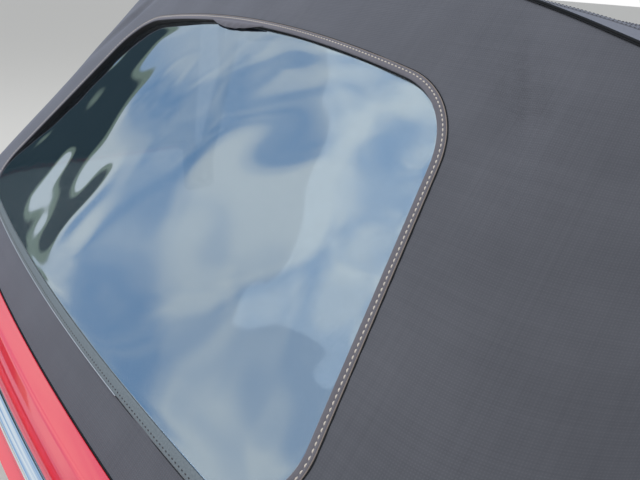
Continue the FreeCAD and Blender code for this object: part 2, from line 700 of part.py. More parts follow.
def add_polygon(sketch, corners):
    """Closed outline of straight lines through corners that are each tied to the origin."""
    points = [spot(at) for at in corners]
    first = sketch.addGeometry(
        [Part.LineSegment(a, b) for a, b in zip(points, points[1:] + points[:1])], False)[0]
    count = len(points)
    for index in range(count):
        sketch.addConstraint(Sketcher.Constraint(
            "Coincident", first + index, 2, first + (index + 1) % count, 1))
        place(sketch, first + index, 1, corners[index])


def add_link(sketch, start, start_radius, end, end_radius):
    """Outline of a tapered link: two round ends joined by the lines that touch both."""
    a, b = spot(start), spot(end)
    big, small = (float(sheet.evalExpression(text)) for text in (start_radius, end_radius))
    along = math.atan2(b.y - a.y, b.x - a.x)
    lean = math.asin((big - small) / (b - a).Length)
    left, right = along + math.pi / 2 - lean, along - math.pi / 2 + lean

    def on_circle(centre, radius, angle):
        return centre + Vector(math.cos(angle), math.sin(angle), 0) * radius

    up = Vector(0, 0, 1)
    first = sketch.addGeometry([
        Part.ArcOfCircle(Part.Circle(a, up, big), left, right + 2 * math.pi),
        Part.LineSegment(on_circle(a, big, right), on_circle(b, small, right)),
        Part.ArcOfCircle(Part.Circle(b, up, small), right, left),
        Part.LineSegment(on_circle(b, small, left), on_circle(a, big, left)),
    ], False)[0]
    for index in range(4):
        sketch.addConstraint(Sketcher.Constraint(
            "Tangent", first + index, 2, first + (index + 1) % 4, 1))
    for index, centre, radius in ((first, start, start_radius), (first + 2, end, end_radius)):
        place(sketch, index, 3, centre)
        tied_constraint(sketch, "Radius", (index,), radius)


def pad(body, label, sketch, length, both_ways=False):
    """Solid grown from a sketch along its normal."""
    item = body.newObject("PartDesign::Pad", label)
    item.Profile = sketch
    item.Midplane = both_ways
    tie(item, "Length", length)
    return item


def pocket(body, label, sketch, depth, reverse=False):
    """Recess cut from a sketch into the body."""
    item = body.newObject("PartDesign::Pocket", label)
    item.Profile = sketch
    item.Reversed = reverse
    tie(item, "Length", depth)
    return item


def x_rod(label, radius, start, end, at):
    """Cylinder along X between two planes, at a place across them."""
    rod = doc.addObject("Part::Cylinder", label)
    rod.Placement.Rotation = Rotation(Vector(0, 1, 0), 90)
    tie(rod, "Radius", radius)
    tie(rod, "Height", "(%s) - (%s)" % (end, start))
    for path, text in zip(("x", "y", "z"), (start, *at)):
        tie(rod, "Placement.Base." + path, text)
    return rod


def joined(label, items):
    """Union of pieces without the seams between them."""
    union = doc.addObject("Part::MultiFuse", label)
    union.Shapes = items
    union.Refine = True
    return union


def taken_from(label, base, tool):
    """First piece without what the second one fills."""
    rest = doc.addObject("Part::Cut", label)
    rest.Base = base
    rest.Tool = tool
    rest.Refine = True
    return rest


def node_pair(name, right):
    """Registers a right-hand piece and its mirror image on the left."""
    right.Label = name + "_right"
    left = doc.addObject("Part::Mirroring", name + "_left")
    left.Source = right
    left.Normal = Vector(1, 0, 0)
    nodes.extend([left, right])
    return right


PIVOT = ("pivot_y", "pivot_height")
ELBOW = ("elbow_y", "elbow_height")
PIN_HOLE = "pin_radius + running_gap"
ELBOW_HOLE = "elbow_pin_radius + running_gap"


def along_pillar(share):
    """Place on the pillar's middle line, a share of the way from the main pivot to the elbow."""
    return tuple("%s + %g * (%s - %s)" % (a, share, b, a) for a, b in zip(PIVOT, ELBOW))


pillar = doc.addObject("PartDesign::Body", "pillar_right")
outline = new_sketch(pillar, "pillar_outline", "YZ_Plane", "pillar_inner")
add_link(outline, PIVOT, "pillar_foot_radius", ELBOW, "pillar_head_radius")
add_circle(outline, PIVOT, PIN_HOLE)
add_circle(outline, ELBOW, ELBOW_HOLE)
pad(pillar, "pillar_plate_pad", outline, "pillar_plate")
recess = new_sketch(pillar, "pillar_recess_outline", "YZ_Plane", "pillar_outer")
add_link(
    recess, along_pillar(0.18), "pillar_foot_radius - 1.5 * pillar_rim",
    along_pillar(0.86), "pillar_head_radius - pillar_rim")
pocket(pillar, "pillar_recess_pocket", recess, "pillar_recess")
node_pair("pillar", pillar)

arm = doc.addObject("PartDesign::Body", "arm_body")
outline = new_sketch(arm, "arm_outline", "YZ_Plane", "arm_inner")
add_link(outline, PIVOT, "arm_foot_radius", ("arm_tip_y", "arm_tip_z"), "arm_tip_radius")
add_circle(outline, PIVOT, PIN_HOLE)
pad(arm, "arm_pad", outline, "arm_plate")
node_pair("bow_arm", taken_from("bow_arm_right", arm, rear_bow_item))

bracket = doc.addObject("PartDesign::Body", "main_bracket_right")
rear_end = "pivot_y - bracket_length / 2"
front_end_text = "pivot_y + bracket_length / 2"
low_end = "pivot_height - bracket_reach"
outline = new_sketch(bracket, "bracket_outline", "YZ_Plane", "bracket_inner")
add_polygon(outline, [
    (rear_end, low_end), (front_end_text, low_end),
    (front_end_text, "rail_thickness"), (rear_end, "rail_thickness")])
add_circle(outline, PIVOT, PIN_HOLE)
for y_sign in "-+":
    for z_sign in "-+":
        add_circle(outline, (
            "pivot_y %s bracket_bolt_spacing / 2" % y_sign,
            "pivot_height %s bracket_bolt_spacing / 2" % z_sign), "bracket_bolt_radius")
pad(bracket, "bracket_plate_pad", outline, "bracket_plate")
flange = new_sketch(bracket, "flange_outline", "XY_Plane")
add_polygon(flange, [
    ("bracket_outer", rear_end), ("flange_end", rear_end),
    ("flange_end", front_end_text), ("bracket_outer", front_end_text)])
pad(bracket, "flange_pad", flange, "rail_thickness")
gusset = new_sketch(bracket, "gusset_outline", "XZ_Plane", "0 - pivot_y")
add_polygon(gusset, [
    ("bracket_outer", "0 - gusset_reach"), ("bracket_outer + gusset_reach", "0 * rail_thickness"),
    ("bracket_outer", "0 * rail_thickness")])
plates = pad(bracket, "gusset_pad", gusset, "gusset_plate", both_ways=True)
doc.recompute()
lower_corners = [
    "Edge%d" % (index + 1) for index, edge in enumerate(plates.Shape.Edges)
    if abs(edge.tangentAt(edge.FirstParameter).x) > 0.99
    and abs(edge.Vertexes[0].Z - pivot.z + size("bracket_reach")) < 0.01
    and len(edge.Vertexes) == 2]
rounding = bracket.newObject("PartDesign::Fillet", "bracket_corners")
rounding.Base = (plates, lower_corners)
tie(rounding, "Radius", "bracket_corner")
node_pair("main_bracket", bracket)

clip_start = "bracket_outer + pin_stand - 2 * clip_plate"
node_pair("pivot_pin", joined("pivot_pin_right", [
    x_rod("pin_shaft", "pin_radius", "arm_inner - pin_slack", "bracket_outer + pin_stand", PIVOT),
    x_rod("pin_head", "pin_head_radius", "arm_inner - pin_slack - pin_head", "arm_inner - pin_slack", PIVOT),
    x_rod("pin_clip", "clip_radius", clip_start, clip_start + " + clip_plate", PIVOT)]))
node_pair("elbow_pin", joined("elbow_pin_right", [
    x_rod("elbow_shaft", "elbow_pin_radius", "rail_inner", "pillar_outer + elbow_stand", ELBOW),
    x_rod("elbow_cap", "elbow_head_radius", "rail_inner - elbow_head", "rail_inner", ELBOW)]))

side_rail = doc.addObject("PartDesign::Body", "side_rail_right")
bar_outline = new_sketch(side_rail, "rail_bar_outline", "XZ_Plane", "0 - elbow_y")
rail_low = "elbow_height - side_rail_height / 2"
rail_high = "elbow_height + side_rail_height / 2"
add_polygon(bar_outline, [
    ("rail_inner", rail_low), ("rail_outer", rail_low), ("rail_outer", rail_high), ("rail_inner", rail_high)])
bar_pad = pad(side_rail, "rail_bar_pad", bar_outline, "side_rail_front - elbow_y")
bar_pad.Reversed = True
eye_outline = new_sketch(side_rail, "rail_eye_outline", "YZ_Plane", "rail_inner")
add_circle(eye_outline, ELBOW, "side_rail_height / 2")
pad(side_rail, "rail_eye_pad", eye_outline, "side_rail_width")
hole_outline = new_sketch(side_rail, "rail_hole_outline", "YZ_Plane", "rail_outer")
add_circle(hole_outline, ELBOW, ELBOW_HOLE)
pocket(side_rail, "rail_hole", hole_outline, "side_rail_width")
channel_outline = new_sketch(side_rail, "channel_outline", "XZ_Plane", "0 - elbow_y - channel_start")
channel_left = "rail_inner + (side_rail_width - channel_width) / 2"
channel_right = "rail_outer - (side_rail_width - channel_width) / 2"
add_polygon(channel_outline, [
    (channel_left, rail_low), (channel_right, rail_low),
    (channel_right, rail_low + " + channel_depth"), (channel_left, rail_low + " + channel_depth")])
channel_length = "side_rail_front - elbow_y - channel_start"
pocket(side_rail, "seal_channel", channel_outline, channel_length)
node_pair("side_rail", side_rail)

side_seal = doc.addObject("PartDesign::Body", "side_seal_right")
foot_outline = new_sketch(side_seal, "seal_foot_outline", "XZ_Plane", "0 - elbow_y - channel_start")
add_polygon(foot_outline, [
    (channel_left, rail_low), (channel_right, rail_low),
    (channel_right, rail_low + " + channel_depth"), (channel_left, rail_low + " + channel_depth")])
foot_pad = pad(side_seal, "seal_foot_pad", foot_outline, channel_length)
foot_pad.Reversed = True
bulb_outline = new_sketch(side_seal, "seal_bulb_outline", "XZ_Plane", "0 - elbow_y - channel_start")
bulb_centre = ("rail_inner + side_rail_width / 2", rail_low + " - bulb_radius + bulb_bury")
add_circle(bulb_outline, bulb_centre, "bulb_radius")
add_circle(bulb_outline, bulb_centre, "bulb_bore")
bulb_pad = pad(side_seal, "seal_bulb_pad", bulb_outline, channel_length)
bulb_pad.Reversed = True
node_pair("side_seal", side_seal)

# Roof fabric and header

split = size("bow_arc_half") + 10
seam = size("seam_gap")
side_seam = seam * math.sqrt(2)


def roof_rear_edge(inset):
    """Edges of the roof along the rear bow, from left to right, clear of the rear skin."""
    moved = []
    for edge in five_edges(*shoulder_points(inset, side_seam), FABRIC_PARTS)[1:-1]:
        copy = edge.copy()
        copy.translate(Vector(0, seam, 0))
        moved.append(copy)
    return moved


def arch_at(inset, y, half, edge, rise):
    return split_arch(y, half - inset, edge - inset, rise, split)


main_y = size("main_bow_y")
shoulder = size("shoulder_half_width") - side_seam
main_rise = size("main_bow_rise")
feature("roof_rear_panel", ring_solid([
    roof_rear_edge(0), arch_at(0, main_y - seam, shoulder, edge_height, main_rise),
    arch_at(cloth, main_y - seam, shoulder, edge_height, main_rise), roof_rear_edge(cloth),
]))
front_y = size("front_bow_y")
front_rise = size("front_bow_rise")
feature("roof_mid_panel", ring_solid([
    arch_at(0, main_y, shoulder, edge_height, main_rise),
    arch_at(0, front_y, front_half_width, front_edge, front_rise),
    arch_at(cloth, front_y, front_half_width, front_edge, front_rise),
    arch_at(cloth, main_y, shoulder, edge_height, main_rise),
]))
header_half = size("shoulder_half_width") - size("header_narrowing")


def header_arc(back, down):
    """Arc along the header, moved back and down from its front upper edge."""
    end = Vector(header_half, size("header_end_y") - back, header_edge - down)
    crown_z = header_edge + size("header_rise") - down
    roof_fall = (front_edge + front_rise - header_edge - size("header_rise"))
    roof_fall = roof_fall / (size("header_apex_y") - front_y)
    end.z += back * edge_fall
    middle = Vector(0, size("header_apex_y") - back, crown_z + back * roof_fall)
    return [arc(mirrored(end), middle, end)]


def front_arc(down):
    arch = [
        Vector(x, front_y + seam, front_edge + rise - down)
        for x, rise in ((front_half_width - down, 0), (0, front_rise))]
    return [arc(mirrored(arch[0]), arch[1], arch[0])]


feature("roof_front_panel", ring_solid([
    front_arc(0), header_arc(0, 0), header_arc(0, cloth), front_arc(cloth),
]))
header_drop = cloth + size("header_gap")
header_depth = size("header_depth")
header_front = size("header_front_gap")


def header_block(top):
    """Solid over the header's lower face, up to a distance under the roof's edge."""
    return ring_solid([
        header_arc(header_front, top), header_arc(header_depth, top),
        header_arc(header_depth, header_bottom), header_arc(header_front, header_bottom),
    ])


feature("header", header_block(header_drop))
header_room = doc.addObject("Part::Feature", "header_room")
header_room.Shape = header_block(header_bottom - 4 * size("latch_bury"))
seal_front, seal_rear = size("header_seal_front"), size("header_seal_rear")
seal_bottom = header_bottom + size("header_seal_height")
feature("header_seal", ring_solid([
    header_arc(seal_front, header_bottom), header_arc(seal_rear, header_bottom),
    header_arc(seal_rear, seal_bottom), header_arc(seal_front, seal_bottom),
]))

# Latches under the header: a base with two ears, and a tapered handle on its pin

latch_share = 1 - (size("latch_x") / header_half) ** 2
face_z = header_edge + size("header_rise") * latch_share - header_bottom
hinge_y = size("header_end_y") + (size("header_apex_y") - size("header_end_y")) * latch_share
add_row("latch_face_z", face_z, "header's lower face over the latches")
add_row("latch_hinge_y", hinge_y - size("latch_setback"), "latch hinge, forward of the hem")
add_row("latch_hinge_z", "=latch_face_z - latch_drop", "latch hinge, above the rail's underside")
doc.recompute()
print("latch hinge", size("latch_x"), size("latch_hinge_y"), size("latch_hinge_z"))

HINGE = ("latch_hinge_y", "latch_hinge_z")
ear_inner = "latch_width / 2 + latch_side_gap"
ear_outer = ear_inner + " + latch_ear"
base_body = doc.addObject("PartDesign::Body", "latch_base_body")
plate_outline = new_sketch(base_body, "latch_plate_outline", "XY_Plane", "latch_face_z - latch_plate")
rear_text = "latch_hinge_y - latch_base_depth / 2"
front_text = "latch_hinge_y + latch_base_depth / 2"
low_x = "latch_x - %s" % ear_outer.replace("+", "-")
high_x = "latch_x + %s" % ear_outer
add_polygon(plate_outline, [
    (low_x, rear_text), (high_x, rear_text), (high_x, front_text), (low_x, front_text)])
pad(base_body, "latch_plate_pad", plate_outline, "latch_plate + latch_bury")
ear_plates = []
for number, ear_start in enumerate((low_x, "latch_x + %s" % ear_inner)):
    ear = new_sketch(base_body, "ear_outline_%d" % number, "YZ_Plane", ear_start)
    ear_low = ("latch_hinge_y", "latch_hinge_z")
    ear_high = ("latch_hinge_y + 0 * latch_ear", "latch_face_z - latch_plate / 2")
    add_link(ear, ear_high, "1.4 * latch_ear_radius", ear_low, "latch_ear_radius")
    pad(base_body, "ear_pad_%d" % number, ear, "latch_ear")
bare_base = taken_from("latch_base_seated", base_body, header_room)
pin_bore = x_rod(
    "latch_bore", "latch_pin_radius + running_gap", low_x + " - latch_ear", high_x + " + latch_ear", HINGE)
node_pair("latch_base", taken_from("latch_base_right", bare_base, pin_bore))

handle_body = doc.addObject("PartDesign::Body", "latch_handle_body")
grip = ("latch_hinge_y - latch_length + latch_grip_radius", "latch_hinge_z")
handle_outline = new_sketch(handle_body, "handle_outline", "YZ_Plane", "latch_x")
add_link(handle_outline, HINGE, "latch_eye_radius", grip, "latch_grip_radius")
pad(handle_body, "handle_pad", handle_outline, "latch_width", both_ways=True)
recess_outline = new_sketch(handle_body, "finger_recess_outline", "XY_Plane", "latch_hinge_z - latch_eye_radius")
recess_left = "latch_x - latch_recess_width / 2"
recess_right = "latch_x + latch_recess_width / 2"
recess_rear = "latch_hinge_y - latch_length + 4 * latch_grip_radius"
recess_front = "latch_hinge_y - latch_length / 2"
add_polygon(recess_outline, [
    (recess_left, recess_rear), (recess_right, recess_rear),
    (recess_right, recess_front), (recess_left, recess_front)])
pocket(
    handle_body, "finger_recess", recess_outline,
    "latch_eye_radius - latch_grip_radius + latch_recess", reverse=True)
handle_pin = x_rod("latch_pin", "latch_pin_radius", low_x, high_x, HINGE)
node_pair("latch_handle", joined("latch_handle_right", [handle_body, handle_pin]))

# Check and write every sub-part

doc.recompute()
for item in doc.Objects:
    if "Invalid" in item.State or "Error" in item.State:
        raise RuntimeError("failed object: " + item.Label)
for item in nodes:
    if item.Shape.isNull() or not item.Shape.isValid():
        raise RuntimeError("bad shape: " + item.Label)
    print("%-22s solids %d volume %.0f" % (item.Label, len(item.Shape.Solids), item.Shape.Volume))
    item.Shape.exportStep("parts/%s.step" % item.Label)
print("rail bolts", bolt_y, "nodes", len(nodes))
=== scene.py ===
# %% [markdown]
# Folding soft top with a flexible rear window, closed on its painted deck collar. The solids come
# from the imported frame. What is cloth, clear sheet, tape, thread and trim on the real roof is
# made here as surfaces worked out with numpy, in metres: +X to the right, +Y forward, +Z up.

import bmesh
import bpy
import json
import math
import numpy as np
from mathutils import Matrix


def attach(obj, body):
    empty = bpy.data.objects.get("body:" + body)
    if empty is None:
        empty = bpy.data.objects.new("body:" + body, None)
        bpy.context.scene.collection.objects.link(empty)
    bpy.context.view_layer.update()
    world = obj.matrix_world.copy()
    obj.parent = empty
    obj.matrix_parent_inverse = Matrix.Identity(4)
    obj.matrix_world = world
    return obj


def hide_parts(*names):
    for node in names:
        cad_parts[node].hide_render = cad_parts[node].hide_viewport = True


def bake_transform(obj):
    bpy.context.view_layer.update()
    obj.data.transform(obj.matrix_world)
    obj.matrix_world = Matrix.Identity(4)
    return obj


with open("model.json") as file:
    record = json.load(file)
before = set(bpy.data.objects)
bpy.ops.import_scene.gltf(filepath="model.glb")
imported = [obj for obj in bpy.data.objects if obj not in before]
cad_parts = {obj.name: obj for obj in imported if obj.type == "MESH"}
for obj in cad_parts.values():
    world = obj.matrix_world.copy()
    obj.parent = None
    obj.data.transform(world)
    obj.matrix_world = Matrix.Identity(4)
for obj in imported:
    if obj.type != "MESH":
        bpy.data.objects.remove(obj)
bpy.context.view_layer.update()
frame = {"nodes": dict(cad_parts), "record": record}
scene = bpy.context.scene
print("frame nodes", len(frame["nodes"]))

# %% [markdown]
# The fabric hangs between two lines. The hem line runs round the deck: a wide arc under the
# window, a rounded corner and a straight run forward on each side. The shoulder line, the rear
# bow's seam and then the roof's side edge, has the same three stretches.

# %% Hem and shoulder lines
MM = 0.001
HEM_Z = 6 * MM
CLOTH = 3 * MM
FRONT_Y = 560 * MM
HEM = {"half": 487 * MM, "radius": 4630 * MM, "side": 650 * MM}
BOW_LEAN = math.radians(24.8)
SHOULDER = {"half": 425.5 * MM, "radius": 1651 * MM, "side": 585 * MM}
SLOPE_RUN, SLOPE_RISE = 420 * MM, 426.5 * MM
BOW_APEX = np.array([0, SLOPE_RUN, HEM_Z + SLOPE_RISE])
SLOPE_ANGLE = math.atan2(SLOPE_RISE, SLOPE_RUN)
SIDE_FALL = math.radians(8.6)
HEM_DOWN = np.array([0.0, 1.0, 0.0])
BOW_DOWN = np.array([0.0, -math.sin(BOW_LEAN), -math.cos(BOW_LEAN)])
ACROSS = np.array([1.0, 0.0, 0.0])
FORWARD = np.array([0.0, 1.0, 0.0])
ROOF_FORWARD = np.array([0.0, math.cos(SIDE_FALL), -math.sin(SIDE_FALL)])


def lane(u, apex, down, half, radius, side, ahead):
    """Points of an edge line, u 0 at its left front end to 5 at its right one.

    From the middle out, at a distance s = |u - 2.5|: to s = 0.5 an arc of the radius that falls
    along down; to s = 1.5 an arc that turns its end direction to the direction ahead, with its
    knee where the end tangent meets the side; to s = 2.5 a straight run ahead."""
    s = np.abs(u - 2.5)[..., None]
    theta = math.asin(half / radius)
    alpha = np.minimum(2 * s, 1) * theta
    crown = apex + radius * (np.sin(alpha) * ACROSS + (1 - np.cos(alpha)) * down)
    tangent = math.cos(theta) * ACROSS + math.sin(theta) * down
    reach = (side - half) / math.cos(theta)
    turn = math.acos(tangent @ ahead)
    inward = (ahead - tangent * math.cos(turn)) / math.sin(turn)
    bend = reach / math.tan(turn / 2)
    beta = np.clip(s - 0.5, 0, 1) * turn
    corner = bend * (np.sin(beta) * tangent + (1 - np.cos(beta)) * inward)
    turn_end = apex[1] + radius * (1 - math.cos(theta)) * down[1] + (tangent[1] + ahead[1]) * reach
    run = np.clip(s - 1.5, 0, 1) * (FRONT_Y - turn_end) / ahead[1] * ahead
    return (crown + corner + run) * np.where(u[..., None] < 2.5, [-1, 1, 1], [1, 1, 1])


def hem_line(u, depth=0.0, height=HEM_Z):
    """The hem line, moved inward by a depth, at a height."""
    apex = np.array([0, depth, height])
    return lane(u, apex, HEM_DOWN, HEM["half"], HEM["radius"], HEM["side"] - depth, FORWARD)


def shoulder_line(u):
    """The shoulder line: the rear bow's seam and the roof's side edges."""
    return lane(u, BOW_APEX, BOW_DOWN, **SHOULDER, ahead=ROOF_FORWARD)


def skin(u, v):
    """Ruled surface: the straight line from the hem, v 0, to the shoulder, v 1, at each u."""
    v = v[..., None]
    return (1 - v) * hem_line(u) + v * shoulder_line(u)


# %% [markdown]
# The window and all that is sewn round it is laid out flat, as a trimmer cuts it: across the
# car, and up the slope from the hem. Newton steps find the place on the fabric over a point of
# that pattern. The outline is two wide arcs, two straight sides and four corners, whose circles
# touch an arc from inside and a side.

# %% The slope and the window's outline
NEWTON_STEPS = 6
SLOPE_UP = np.array([0, math.cos(SLOPE_ANGLE), math.sin(SLOPE_ANGLE)])
SLOPE_OUT = np.array([0, -math.sin(SLOPE_ANGLE), math.cos(SLOPE_ANGLE)])
SLOPE_FOOT = np.array([0, 0, HEM_Z])
SLOPE_LENGTH = math.hypot(SLOPE_RUN, SLOPE_RISE)


def find_on_skin(x, up):
    """u and v of the fabric over a point of the flat pattern, by Newton steps from a guess."""
    u = 2.5 + 0.5 * x / (HEM["half"] - (HEM["half"] - SHOULDER["half"]) * up / SLOPE_LENGTH)
    v = up / SLOPE_LENGTH
    for _ in range(NEWTON_STEPS):
        offset = skin(u, v) - SLOPE_FOOT
        wide = 2 * (HEM["half"] + (SHOULDER["half"] - HEM["half"]) * v)
        u = u + (x - offset[..., 0]) / wide
        v = v + (up - offset @ SLOPE_UP) / SLOPE_LENGTH
    return u, v


def on_skin(x, up, lift):
    """Point over the flat pattern's x and up, lifted off the fabric's outer face."""
    u, v = find_on_skin(x, up)
    return skin(u, v) + SLOPE_OUT * np.asarray(lift)[..., None]


# Foot and top of the window: the height of its middle, its corner and that corner's radius.
FOOT = (56 * MM, (444 * MM, 73 * MM), 60 * MM)
TOP = (475 * MM, (347 * MM, 446 * MM), 102 * MM)
ARC_POINTS = 160


def arc_lengths(line_points):
    """Distance along a row of points from its first one."""
    return np.concatenate([[0], np.cumsum(np.linalg.norm(np.diff(line_points, axis=0), axis=1))])


def arc_through(middle, corner):
    """Centre height and radius of the arc over x that passes its middle and its corner."""
    rise = corner[1] - middle
    radius = (corner[0] ** 2 + rise ** 2) / (2 * abs(rise))
    return middle + math.copysign(radius, rise), radius


def circle_points(centre, radius, start, end):
    """Points along a circle from one angle to another."""
    angle = np.linspace(start, end, ARC_POINTS)
    return np.stack([centre[0] + radius * np.cos(angle), centre[1] + radius * np.sin(angle)], -1)


def window_half():
    """Right half of the outline, from the middle of the lower edge to that of the upper one."""
    low, high = np.array(FOOT[1]), np.array(TOP[1])
    along = (high - low) / np.linalg.norm(high - low)
    inward = np.array([-along[1], along[0]])
    outer = math.atan2(-inward[1], -inward[0])
    halves = []
    for side, (middle, corner, small) in ((-1, FOOT), (1, TOP)):
        height, radius = arc_through(middle, corner)
        start = low + inward * small - [0, height]
        b, c = start @ along, start @ start - (radius - small) ** 2
        centre = low + inward * small + along * (side * math.sqrt(b * b - c) - b)
        touch = math.atan2(centre[1] - height, centre[0])
        halves.append(np.concatenate([
            circle_points((0, height), radius, side * math.pi / 2, touch),
            circle_points(centre, small, touch, outer)[1:]]))
    return np.concatenate([halves[0], halves[1][::-1]])


HALF = window_half()
HALF_ALONG = arc_lengths(HALF)
WAY_ROUND = 2 * HALF_ALONG[-1]
HALF_TANGENT = np.gradient(HALF, HALF_ALONG, axis=0)
HALF_TANGENT /= np.linalg.norm(HALF_TANGENT, axis=1)[:, None]
print("window outline, m", round(WAY_ROUND, 3))


def window_edge(share, grow=0.0):
    """x and up of the outline grown outward; share 0 and 1 are the middle of the lower edge, and
    the outline goes up the right side first. Its left half mirrors the right one."""
    share = share % 1
    along = np.minimum(share, 1 - share) * WAY_ROUND
    x, up = (np.interp(along, HALF_ALONG, HALF[:, i]) for i in (0, 1))
    tx, tup = (np.interp(along, HALF_ALONG, HALF_TANGENT[:, i]) for i in (0, 1))
    side = np.where(share <= 0.5, 1, -1)
    return side * (x + grow * tup), up - grow * tx


# %% [markdown]
# Every new piece is a grid of points, worked out whole, that becomes a mesh with its faces
# outward. Its UV map is in metres along the piece, so that a weave has one size everywhere.

# %% Grids into meshes
def grid_faces(rows, columns, closed=False):
    """Corner numbers of a grid's quads, one row of four a quad."""
    r, c = np.arange(rows - 1), np.arange(columns if closed else columns - 1)
    r, c = (a.ravel() for a in np.meshgrid(r * columns, c, indexing="ij"))
    after, below = (c + 1) % columns, r + columns
    return np.stack([r + c, r + after, below + after, below + c], -1)


def new_piece(name, points, faces, uv=None):
    """Object from points and quads given as whole arrays, with a UV map of one pair a point."""
    mesh = bpy.data.meshes.new(name)
    points = np.ascontiguousarray(points.reshape(-1, 3), dtype=np.float32)
    faces = np.ascontiguousarray(faces, dtype=np.int32)
    mesh.vertices.add(len(points))
    mesh.vertices.foreach_set("co", points.ravel())
    mesh.loops.add(faces.size)
    mesh.loops.foreach_set("vertex_index", faces.ravel())
    mesh.polygons.add(len(faces))
    mesh.polygons.foreach_set("loop_start", np.arange(0, faces.size, 4, dtype=np.int32))
    mesh.update(calc_edges=True)
    mesh.polygons.foreach_set("use_smooth", np.full(len(faces), True))
    if uv is not None:
        layer = mesh.uv_layers.new(name="along")
        layer.data.foreach_set("uv", uv.reshape(-1, 2)[faces.ravel()].astype(np.float32).ravel())
    mesh.validate()
    piece = bpy.data.objects.new(name, mesh)
    scene.collection.objects.link(piece)
    return piece


def grid_piece(name, points, uv=None, closed=False, flip=False):
    """Object from a grid of points, rows by columns."""
    faces = grid_faces(*points.shape[:2], closed)
    return new_piece(name, points, faces[:, ::-1] if flip else faces, uv)


def fill_ends(piece, sides, smooth=False):
    """Closes the open ends of swept profiles, each a ring with that many sides."""
    mesh = bmesh.new()
    mesh.from_mesh(piece.data)
    for end in bmesh.ops.holes_fill(mesh, edges=mesh.edges, sides=sides)["faces"]:
        end.smooth = smooth
    bmesh.ops.recalc_face_normals(mesh, faces=mesh.faces)
    mesh.to_mesh(piece.data)
    mesh.free()
    return piece


def sweep(name, points, uv):
    """Object from a closed profile carried along a line, one row a place on the line."""
    return fill_ends(grid_piece(name, points, uv, closed=True), points.shape[1])


def uv_grid(along, across):
    """UV pairs of a grid: the way along for its rows, the way across for its columns."""
    return np.stack(np.broadcast_arrays(along.reshape(-1, 1), across.reshape(1, -1)), -1)


def thicken(piece, thickness):
    """Solidify modifier that gives a sheet its real thickness under its outer face."""
    wall = piece.modifiers.new("thickness", "SOLIDIFY")
    wall.thickness, wall.offset, wall.use_even_offset = thickness, -1.0, True
    return piece


AROUND_U = np.linspace(0, 5, 1201)
AROUND_LENGTH = arc_lengths(skin(AROUND_U, np.array(0.5)))
AROUND_LENGTH -= np.interp(2.5, AROUND_U, AROUND_LENGTH)


def cloth_uv(u, v):
    """UV in metres: the way round the fabric at half height, and the way up from the hem."""
    across = np.interp(u, AROUND_U, AROUND_LENGTH)
    height = np.linalg.norm(shoulder_line(u) - hem_line(u), axis=-1)
    return np.stack([across, v * height], -1)


def smoothstep(x):
    """0 below 0, 1 above 1, and 3x^2 - 2x^3 between."""
    x = np.clip(x, 0, 1)
    return x * x * (3 - 2 * x)


print("way round the fabric, m", round(float(AROUND_LENGTH[-1] - AROUND_LENGTH[0]), 3))

# %% [markdown]
# The rear fabric is one cut of canvas from the window out to the hem, the rear bow's seam and the
# front edges of the quarters. Its grid goes round one way, and outward from the window's edge the
# other. It sags a little between hem and bow, the window's stitching draws it in short puckers,
# and it has soft dents where it passes the bow's bends.

# %% Rear fabric
AROUND, OUTWARD = 720, 64
PUCKER_PITCH, PUCKER_REACH = 19 * MM, 16 * MM
# Each dent has its height in millimetres, then its place (across, up), half width, half height
# and lean in metres.
DENTS = (
    (-3.2, (0.427, 0.432), 0.013, 0.085, -0.49), (2.0, (0.452, 0.432), 0.018, 0.085, -0.49),
    (-1.8, (0.70, 0.22), 0.030, 0.16, 0.25), (1.2, (0.52, 0.16), 0.035, 0.12, 0.3))


def frame_edge(share):
    """u and v round the fabric's own border, share as in window_edge: hem, right front edge,
    shoulder, left front edge. The corner shares keep the grid's lines square to the window."""
    turn = np.array([0, 0.19, 0.245, 0.5])
    half = np.minimum(share, 1 - share)
    u = np.interp(half, turn, [2.5, 5, 5, 2.5])
    v = np.interp(half, turn, [0, 0, 1, 1])
    return np.where(share <= 0.5, u, 5 - u), v


def dent(across, up, at, half_width, half_height, lean):
    """A soft dent: a bell over its width times a bell over its height, leaning with height."""
    x = (across - at[0] - lean * (up - at[1])) / half_width
    y = (up - at[1]) / half_height
    return np.exp(-x * x - y * y)


def fabric_relief(u, v, away, share):
    """Height of the fabric over its plain ruled surface: sag, dents and waves that fade at its
    borders, and puckers by the window. away is the distance from the window, share the place
    round it."""
    uv = cloth_uv(u, v)
    across, up = uv[..., 0], uv[..., 1]
    free = smoothstep(v / 0.12) * smoothstep((1 - v) / 0.10) * smoothstep(away / 0.02)
    side = np.abs(across)
    sag = -2.2 * np.sin(np.pi * v) * smoothstep((side - 0.42) / 0.12)
    dents = sum(height * dent(side, up, *shape) for height, *shape in DENTS)
    waves = 0.5 * np.sin(2 * np.pi * (across / 0.23 + 0.6 * up))
    waves += 0.35 * np.sin(2 * np.pi * (across / 0.11 - up / 0.4))
    pucker = 0.28 * np.sin(2 * np.pi * share * WAY_ROUND / PUCKER_PITCH)
    pucker = pucker * np.exp(-(away / PUCKER_REACH) ** 2) * smoothstep(away / 0.012)
    return MM * (free * (sag + dents + waves) + pucker)


